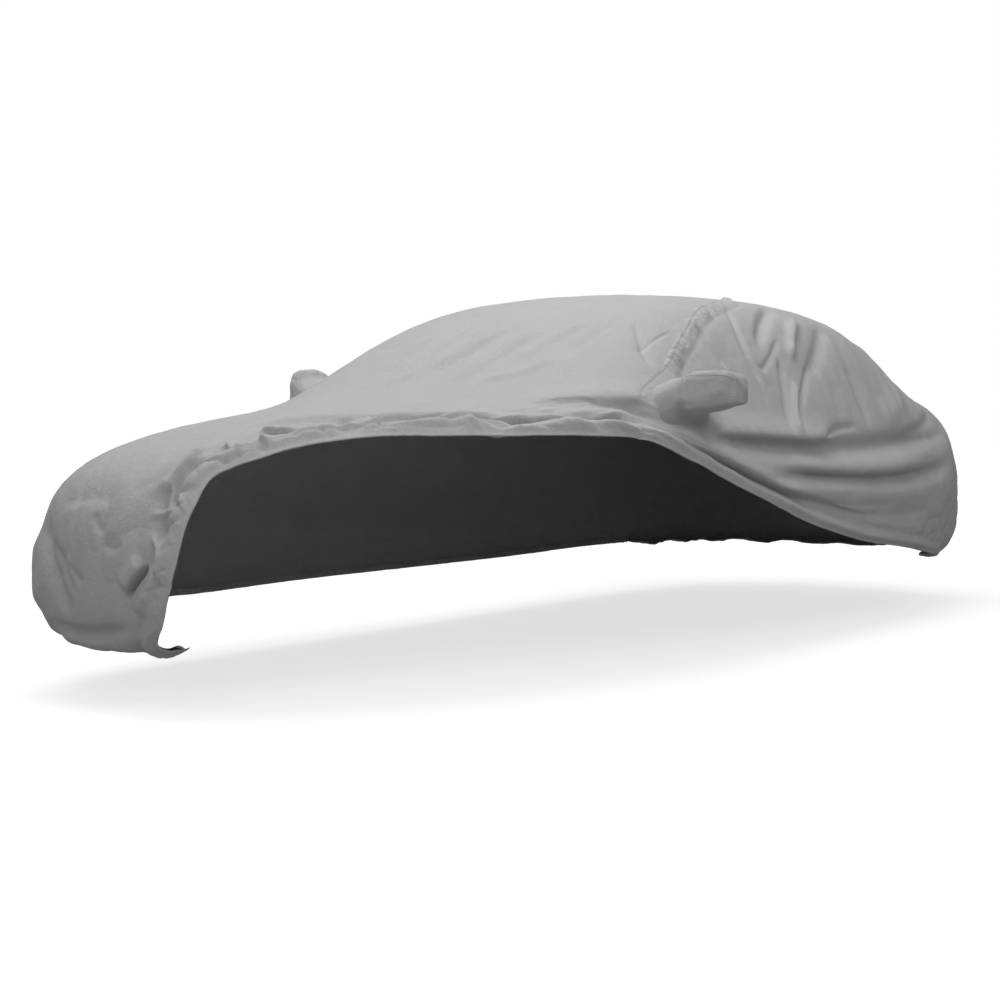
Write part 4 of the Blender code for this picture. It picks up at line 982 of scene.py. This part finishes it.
def cloth_grain_group() -> bpy.types.NodeTree:
    """The shared pattern of the bonded cloth: fibres, pressed dimples and slight mottling.

    Returns:
        A group that takes a colour and amounts, and gives a colour, a roughness and a height.
    """
    group = bpy.data.node_groups.new("bonded_cloth", "ShaderNodeTree")
    new_socket(group, "Colour", "INPUT", "NodeSocketColor", (0.4, 0.4, 0.4, 1.0))
    new_socket(group, "Mottle", "INPUT", "NodeSocketFloat", 0.08)
    new_socket(group, "Fibre", "INPUT", "NodeSocketFloat", 0.05)
    new_socket(group, "Colour", "OUTPUT", "NodeSocketColor")
    new_socket(group, "Roughness", "OUTPUT", "NodeSocketFloat")
    new_socket(group, "Height", "OUTPUT", "NodeSocketFloat")
    nodes, links = group.nodes, group.links
    given = nodes.new("NodeGroupInput")
    result = nodes.new("NodeGroupOutput")
    place = nodes.new("ShaderNodeUVMap")
    place.uv_map = "cloth"

    def noise(scale: float, detail: float, distortion: float = 0.0) -> bpy.types.Node:
        """A noise pattern on the flat cloth, with its scale in cells a metre."""
        node = nodes.new("ShaderNodeTexNoise")
        node.noise_dimensions = "2D"
        node.inputs["Scale"].default_value = scale
        node.inputs["Detail"].default_value = detail
        node.inputs["Distortion"].default_value = distortion
        links.new(place.outputs["UV"], node.inputs["Vector"])
        return node

    def maths(operation: str, a: object, b: object) -> bpy.types.NodeSocket:
        """The result of one sum on two sockets or numbers."""
        node = nodes.new("ShaderNodeMath")
        node.operation = operation
        for k, value in enumerate((a, b)):
            if isinstance(value, bpy.types.NodeSocket):
                links.new(value, node.inputs[k])
            else:
                node.inputs[k].default_value = float(value)
        return node.outputs[0]

    patches = noise(9.0, 4.0, 0.4)
    speckle = noise(160.0, 3.0)
    fibre = noise(900.0, 2.0, 1.5)
    dimples = nodes.new("ShaderNodeTexVoronoi")
    dimples.voronoi_dimensions = "2D"
    dimples.inputs["Scale"].default_value = 420.0
    dimples.inputs["Randomness"].default_value = 0.25
    links.new(place.outputs["UV"], dimples.inputs["Vector"])

    broad = maths("SUBTRACT", patches.outputs["Fac"], 0.5)
    fine = maths("SUBTRACT", speckle.outputs["Fac"], 0.5)
    hair = maths("SUBTRACT", fibre.outputs["Fac"], 0.5)
    change = maths("ADD", maths("MULTIPLY", broad, 0.6), maths("MULTIPLY", fine, 1.4))
    change = maths("MULTIPLY", change, given.outputs["Mottle"])
    change = maths("ADD", change, maths("MULTIPLY", hair, given.outputs["Fibre"]))
    tone = maths("ADD", change, 1.0)
    mix = nodes.new("ShaderNodeMix")
    mix.data_type = "RGBA"
    mix.blend_type = "MULTIPLY"
    mix.inputs["Factor"].default_value = 1.0
    links.new(given.outputs["Colour"], mix.inputs["A"])
    links.new(tone, mix.inputs["B"])
    links.new(mix.outputs["Result"], result.inputs["Colour"])
    rough = maths("ADD", maths("MULTIPLY", fine, 0.12), 0.80)
    links.new(rough, result.inputs["Roughness"])
    pressed = maths("MULTIPLY", dimples.outputs["Distance"], 0.5)
    wrinkle = maths("MULTIPLY", noise(42.0, 5.0, 0.8).outputs["Fac"], 2.2)
    height = maths("ADD", maths("ADD", pressed, maths("MULTIPLY", hair, 0.6)), wrinkle)
    links.new(height, result.inputs["Height"])
    return group


@dataclass(frozen=True)
class ClothFinish:
    """A bonded cloth: its colour and how much it varies."""

    name: str
    colour: tuple[float, float, float]
    mottle: float = 0.16
    fibre: float = 0.30
    bump: float = 0.9
    sheen: float = 0.12

    def material(self, grain: bpy.types.NodeTree) -> bpy.types.Material:
        """Makes the material.

        Args:
            grain: The shared cloth pattern.

        Returns:
            The material.
        """
        made = bpy.data.materials.new(self.name)
        made.use_nodes = True
        nodes, links = made.node_tree.nodes, made.node_tree.links
        shader = nodes["Principled BSDF"]
        shader.inputs["Metallic"].default_value = 0.0
        shader.inputs["Specular IOR Level"].default_value = 0.30
        shader.inputs["Sheen Weight"].default_value = self.sheen
        shader.inputs["Sheen Roughness"].default_value = 0.6
        pattern = nodes.new("ShaderNodeGroup")
        pattern.node_tree = grain
        pattern.inputs["Colour"].default_value = (*self.colour, 1.0)
        pattern.inputs["Mottle"].default_value = self.mottle
        pattern.inputs["Fibre"].default_value = self.fibre
        bump = nodes.new("ShaderNodeBump")
        bump.inputs["Strength"].default_value = self.bump
        bump.inputs["Distance"].default_value = 0.0022
        links.new(pattern.outputs["Colour"], shader.inputs["Base Color"])
        links.new(pattern.outputs["Roughness"], shader.inputs["Roughness"])
        links.new(pattern.outputs["Height"], bump.inputs["Height"])
        links.new(bump.outputs["Normal"], shader.inputs["Normal"])
        made.diffuse_color = (*self.colour, 1.0)
        return made


@dataclass(frozen=True)
class PlainFinish:
    """A plain matt finish, for the thread and the studio floor."""

    name: str
    colour: tuple[float, float, float]
    roughness: float = 0.7

    def material(self) -> bpy.types.Material:
        """Makes the material."""
        made = bpy.data.materials.new(self.name)
        made.use_nodes = True
        shader = made.node_tree.nodes["Principled BSDF"]
        shader.inputs["Base Color"].default_value = (*self.colour, 1.0)
        shader.inputs["Roughness"].default_value = self.roughness
        shader.inputs["Metallic"].default_value = 0.0
        made.diffuse_color = (*self.colour, 1.0)
        return made


# ---------------------------------------------------------------- stitching


@dataclass
class Stitching:
    """Rows of stitches that follow lines on the cloth."""

    name: str
    pitch: float = 0.0055
    length: float = 0.0040
    radius: float = 0.00055

    def tree(self, material: bpy.types.Material) -> bpy.types.GeometryNodeTree:
        """Builds the nodes that set a stitch at each pitch along every curve."""
        tree = bpy.data.node_groups.new(self.name, "GeometryNodeTree")
        new_socket(tree, "Geometry", "INPUT", "NodeSocketGeometry")
        new_socket(tree, "Pitch", "INPUT", "NodeSocketFloat", self.pitch)
        new_socket(tree, "Stitch length", "INPUT", "NodeSocketFloat", self.length)
        new_socket(tree, "Thread radius", "INPUT", "NodeSocketFloat", self.radius)
        new_socket(tree, "Geometry", "OUTPUT", "NodeSocketGeometry")
        nodes, links = tree.nodes, tree.links
        given, result = nodes.new("NodeGroupInput"), nodes.new("NodeGroupOutput")
        spots = nodes.new("GeometryNodeCurveToPoints")
        spots.mode = "LENGTH"
        links.new(given.outputs["Geometry"], spots.inputs["Curve"])
        links.new(given.outputs["Pitch"], spots.inputs["Length"])
        thread = nodes.new("GeometryNodeMeshCylinder")
        thread.inputs["Vertices"].default_value = 5
        links.new(given.outputs["Thread radius"], thread.inputs["Radius"])
        links.new(given.outputs["Stitch length"], thread.inputs["Depth"])
        place = nodes.new("GeometryNodeInstanceOnPoints")
        links.new(spots.outputs["Points"], place.inputs["Points"])
        links.new(thread.outputs["Mesh"], place.inputs["Instance"])
        links.new(spots.outputs["Rotation"], place.inputs["Rotation"])
        real = nodes.new("GeometryNodeRealizeInstances")
        links.new(place.outputs["Instances"], real.inputs["Geometry"])
        paint = nodes.new("GeometryNodeSetMaterial")
        paint.inputs["Material"].default_value = material
        links.new(real.outputs["Geometry"], paint.inputs["Geometry"])
        links.new(paint.outputs["Geometry"], result.inputs["Geometry"])
        return tree

    def build(self, lines: Sequence[Array], material: bpy.types.Material) -> bpy.types.Object:
        """Sews along the lines.

        Args:
            lines: Lines of points just above the cloth.
            material: The thread's material.

        Returns:
            One plain mesh of all the stitches.
        """
        data = bpy.data.curves.new(self.name + "_lines", "CURVE")
        data.dimensions = "3D"
        for line in lines:
            spline = data.splines.new("POLY")
            spline.points.add(len(line) - 1)
            spline.points.foreach_set("co", np.column_stack([line, np.ones(len(line))]).ravel())
        guide = bpy.data.objects.new(self.name + "_lines", data)
        bpy.context.scene.collection.objects.link(guide)
        tree = self.tree(material)
        modifier = guide.modifiers.new("stitches", "NODES")
        modifier.node_group = tree
        values = {"Pitch": self.pitch, "Stitch length": self.length, "Thread radius": self.radius}
        for item in tree.interface.items_tree:
            if item.in_out == "INPUT" and item.name in values:
                modifier[item.identifier] = values[item.name]
        graph = bpy.context.evaluated_depsgraph_get()
        mesh = bpy.data.meshes.new_from_object(guide.evaluated_get(graph), depsgraph=graph)
        guide.modifiers.clear()
        bpy.data.objects.remove(guide, do_unlink=True)
        mesh.name = self.name
        made = bpy.data.objects.new(self.name, mesh)
        bpy.context.scene.collection.objects.link(made)
        if not mesh.materials:
            mesh.materials.append(material)
        log.info("%s: %d faces", self.name, len(mesh.polygons))
        return made

    def dress(self, piece: bpy.types.Object) -> None:
        """Says what the stitches ride on."""
        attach(piece, BODY)


def sewing_lines(cloth: DrapedCloth) -> list[Array]:
    """Double rows of topstitching beside both seams, and one row above the right hem.

    Args:
        cloth: The cloth that they are sewn through.

    Returns:
        Lines of points just above the cloth.
    """
    lines = []
    station = np.linspace(SEAM_START + 0.05, LAST - 0.1, 1400)
    for aside in STITCH_ROWS:
        uv = np.column_stack([station, cloth.seam_girth(station) - aside / GIRTH_STEP])
        lines.append(uv)
    station = np.linspace(0.3, LAST - 0.1, 1200)
    for aside in STITCH_ROWS:
        lines.append(np.column_stack([station, cloth.far_seam_girth(station) + aside / GIRTH_STEP]))
    station = np.linspace(0.3, LAST - 0.1, 1400)
    lines.append(np.column_stack([station, np.full(len(station), -5.92)]))
    found = []
    for uv in lines:
        found.append(cloth.surface(uv) + STITCH_LIFT * cloth.normals(uv))
    return found


# ---------------------------------------------------------------- studio


@dataclass
class Studio:
    """Floor, soft lights and the camera, at the height of a person bending to look."""

    ground_z: float
    eye: tuple[float, float, float] = (3.913, -6.593, -0.5793)
    turn: float = 34.47
    tilt: float = 2.45
    lens: float = 61.3
    floor_glow: float = 0.70

    def floor(self) -> bpy.types.Object:
        """Makes the floor."""
        size = 60.0
        mesh = bpy.data.meshes.new("floor")
        corners = [(-size, -size), (size, -size), (size, size), (-size, size)]
        mesh.from_pydata([(x, y, self.ground_z) for x, y in corners], [], [(0, 1, 2, 3)])
        mesh.materials.append(self.floor_material())
        made = bpy.data.objects.new("floor", mesh)
        bpy.context.scene.collection.objects.link(made)
        return made

    def floor_material(self) -> bpy.types.Material:
        """A pale floor that glows to the eye only, more so far out, so that it runs into the backdrop."""
        made = PlainFinish("studio_floor", (0.42, 0.42, 0.42), 0.9).material()
        nodes, links = made.node_tree.nodes, made.node_tree.links
        shader = nodes["Principled BSDF"]
        seen = nodes.new("ShaderNodeLightPath")
        place = nodes.new("ShaderNodeTexCoord")
        reach = nodes.new("ShaderNodeVectorMath")
        reach.operation = "LENGTH"
        links.new(place.outputs["Object"], reach.inputs[0])
        glow = nodes.new("ShaderNodeMapRange")
        glow.inputs["From Min"].default_value = 3.0
        glow.inputs["From Max"].default_value = 8.0
        glow.inputs["To Min"].default_value = self.floor_glow
        links.new(reach.outputs["Value"], glow.inputs["Value"])
        shown = nodes.new("ShaderNodeMath")
        shown.operation = "MULTIPLY"
        links.new(glow.outputs["Result"], shown.inputs[0])
        links.new(seen.outputs["Is Camera Ray"], shown.inputs[1])
        links.new(shown.outputs[0], shader.inputs["Emission Color"])
        shader.inputs["Emission Strength"].default_value = 1.0
        return made

    def light(
        self,
        name: str,
        power: float,
        size: tuple[float, float],
        place: Sequence[float],
        aim: Sequence[float],
    ) -> None:
        """Adds one soft area light that faces a point."""
        data = bpy.data.lights.new(name, "AREA")
        data.shape = "RECTANGLE"
        data.size, data.size_y = size
        data.energy = power
        made = bpy.data.objects.new(name, data)
        bpy.context.scene.collection.objects.link(made)
        made.location = place
        made.rotation_euler = (Vector(aim) - Vector(place)).to_track_quat("-Z", "Y").to_euler()

    def lights(self) -> None:
        """A large overhead box, one at the left side, two weak ones in front and a pale room."""
        self.light("overhead", 325.0, (5.5, 6.5), (-0.4, -0.8, 4.6), (0.0, 0.0, -0.8))
        self.light("side", 115.0, (3.0, 3.0), (5.5, -2.5, 3.2), (0.8, 0.3, -0.6))
        self.light("front_high", 80.0, (3.0, 2.0), (1.8, -6.5, 3.4), (0.3, -0.8, -0.4))
        self.light("front", 34.0, (3.0, 2.0), (2.0, -7.5, 0.8), (0.0, -1.5, -0.8))
        world = bpy.data.worlds.new("pale_room")
        world.use_nodes = True
        nodes, links = world.node_tree.nodes, world.node_tree.links
        seen = nodes.new("ShaderNodeLightPath")
        strength = nodes.new("ShaderNodeMapRange")
        strength.inputs["To Min"].default_value = 0.24
        strength.inputs["To Max"].default_value = 1.0
        links.new(seen.outputs["Is Camera Ray"], strength.inputs["Value"])
        links.new(strength.outputs["Result"], nodes["Background"].inputs["Strength"])
        nodes["Background"].inputs["Color"].default_value = (1, 1, 1, 1)
        bpy.context.scene.world = world

    def camera(self) -> None:
        """Sets the camera."""
        data = bpy.data.cameras.new("camera")
        data.lens = self.lens
        data.sensor_width = 36.0
        data.clip_end = 200.0
        made = bpy.data.objects.new("camera", data)
        bpy.context.scene.collection.objects.link(made)
        made.location = self.eye
        made.rotation_euler = Euler((math.radians(90 - self.tilt), 0.0, math.radians(self.turn)))
        bpy.context.scene.camera = made

    def colour(self) -> None:
        """Keeps plain colours."""
        bpy.context.scene.view_settings.view_transform = "Standard"


def main() -> None:
    """Builds every piece in order."""
    logging.basicConfig(level=logging.INFO, format="%(message)s")
    cloth = DrapedCloth()
    studio = Studio(ground_z=-float(cloth.origin[2]))
    studio.camera()
    studio.lights()
    studio.floor()
    studio.colour()
    grain = cloth_grain_group()
    cover = ClothFinish("cover_cloth", (0.40, 0.40, 0.40)).material(grain)
    pocket = ClothFinish("pocket_cloth", (0.36, 0.36, 0.36)).material(grain)
    thread = PlainFinish("thread", (0.46, 0.46, 0.46), 0.6).material()

    gather = ((8.0, 55), (8.25, 82), (10.1, 82), (10.6, 22))
    panels = (
        ClothPanel(
            "top_cloth", "top_panel", cloth.far_seam_girth, cloth.top_limit, 0.0, 630, 150,
            (
                (0, 22), (1.5, 40), (1.8, 62), (2.4, 60), (4.4, 64), (5.2, 50), (7.2, 40),
                *gather, (13, 10), (19, 8),
            ),
            ((0, 0.7), (0.5, 0.9), (0.78, 1.3), (0.90, 2.6), (1, 3.2)),
            False, SEAM_START,
        ),
        ClothPanel(
            "side_cloth_left", "side_panel_left", cloth.seam_girth, cloth.edge_girth, SEAM_START, 440, 214,
            ((7.15, 60), *gather, (13, 24), (19, 16)),
            ((0, 3.0), (0.10, 2.4), (0.18, 1.1), (0.80, 1.2), (1, 1.9)),
            False, float(LAST) + 1,
        ),
        ClothPanel(
            "side_cloth_right", "side_panel_right", lambda s: np.full_like(s, -6.0), cloth.far_seam_girth,
            0.0, 420, 130, ((0, 1), (19, 1)), ((0, 1.6), (0.2, 1), (1, 1)), True, 0.0,
        ),
    )
    for panel in panels:
        panel.dress(panel.build(cloth), cover)
    pockets = (
        MirrorPocket("pocket_left", "mirror_pocket_left", 1),
        MirrorPocket("pocket_right", "mirror_pocket_right", -1, rise=FAR_POCKET_RISE, drop=FAR_POCKET_DROP),
    )
    for item in pockets:
        item.dress(item.build(cloth), pocket)
    stitching = Stitching("seam_stitches")
    stitching.dress(stitching.build(sewing_lines(cloth), thread))


if __name__ == "__main__":
    main()
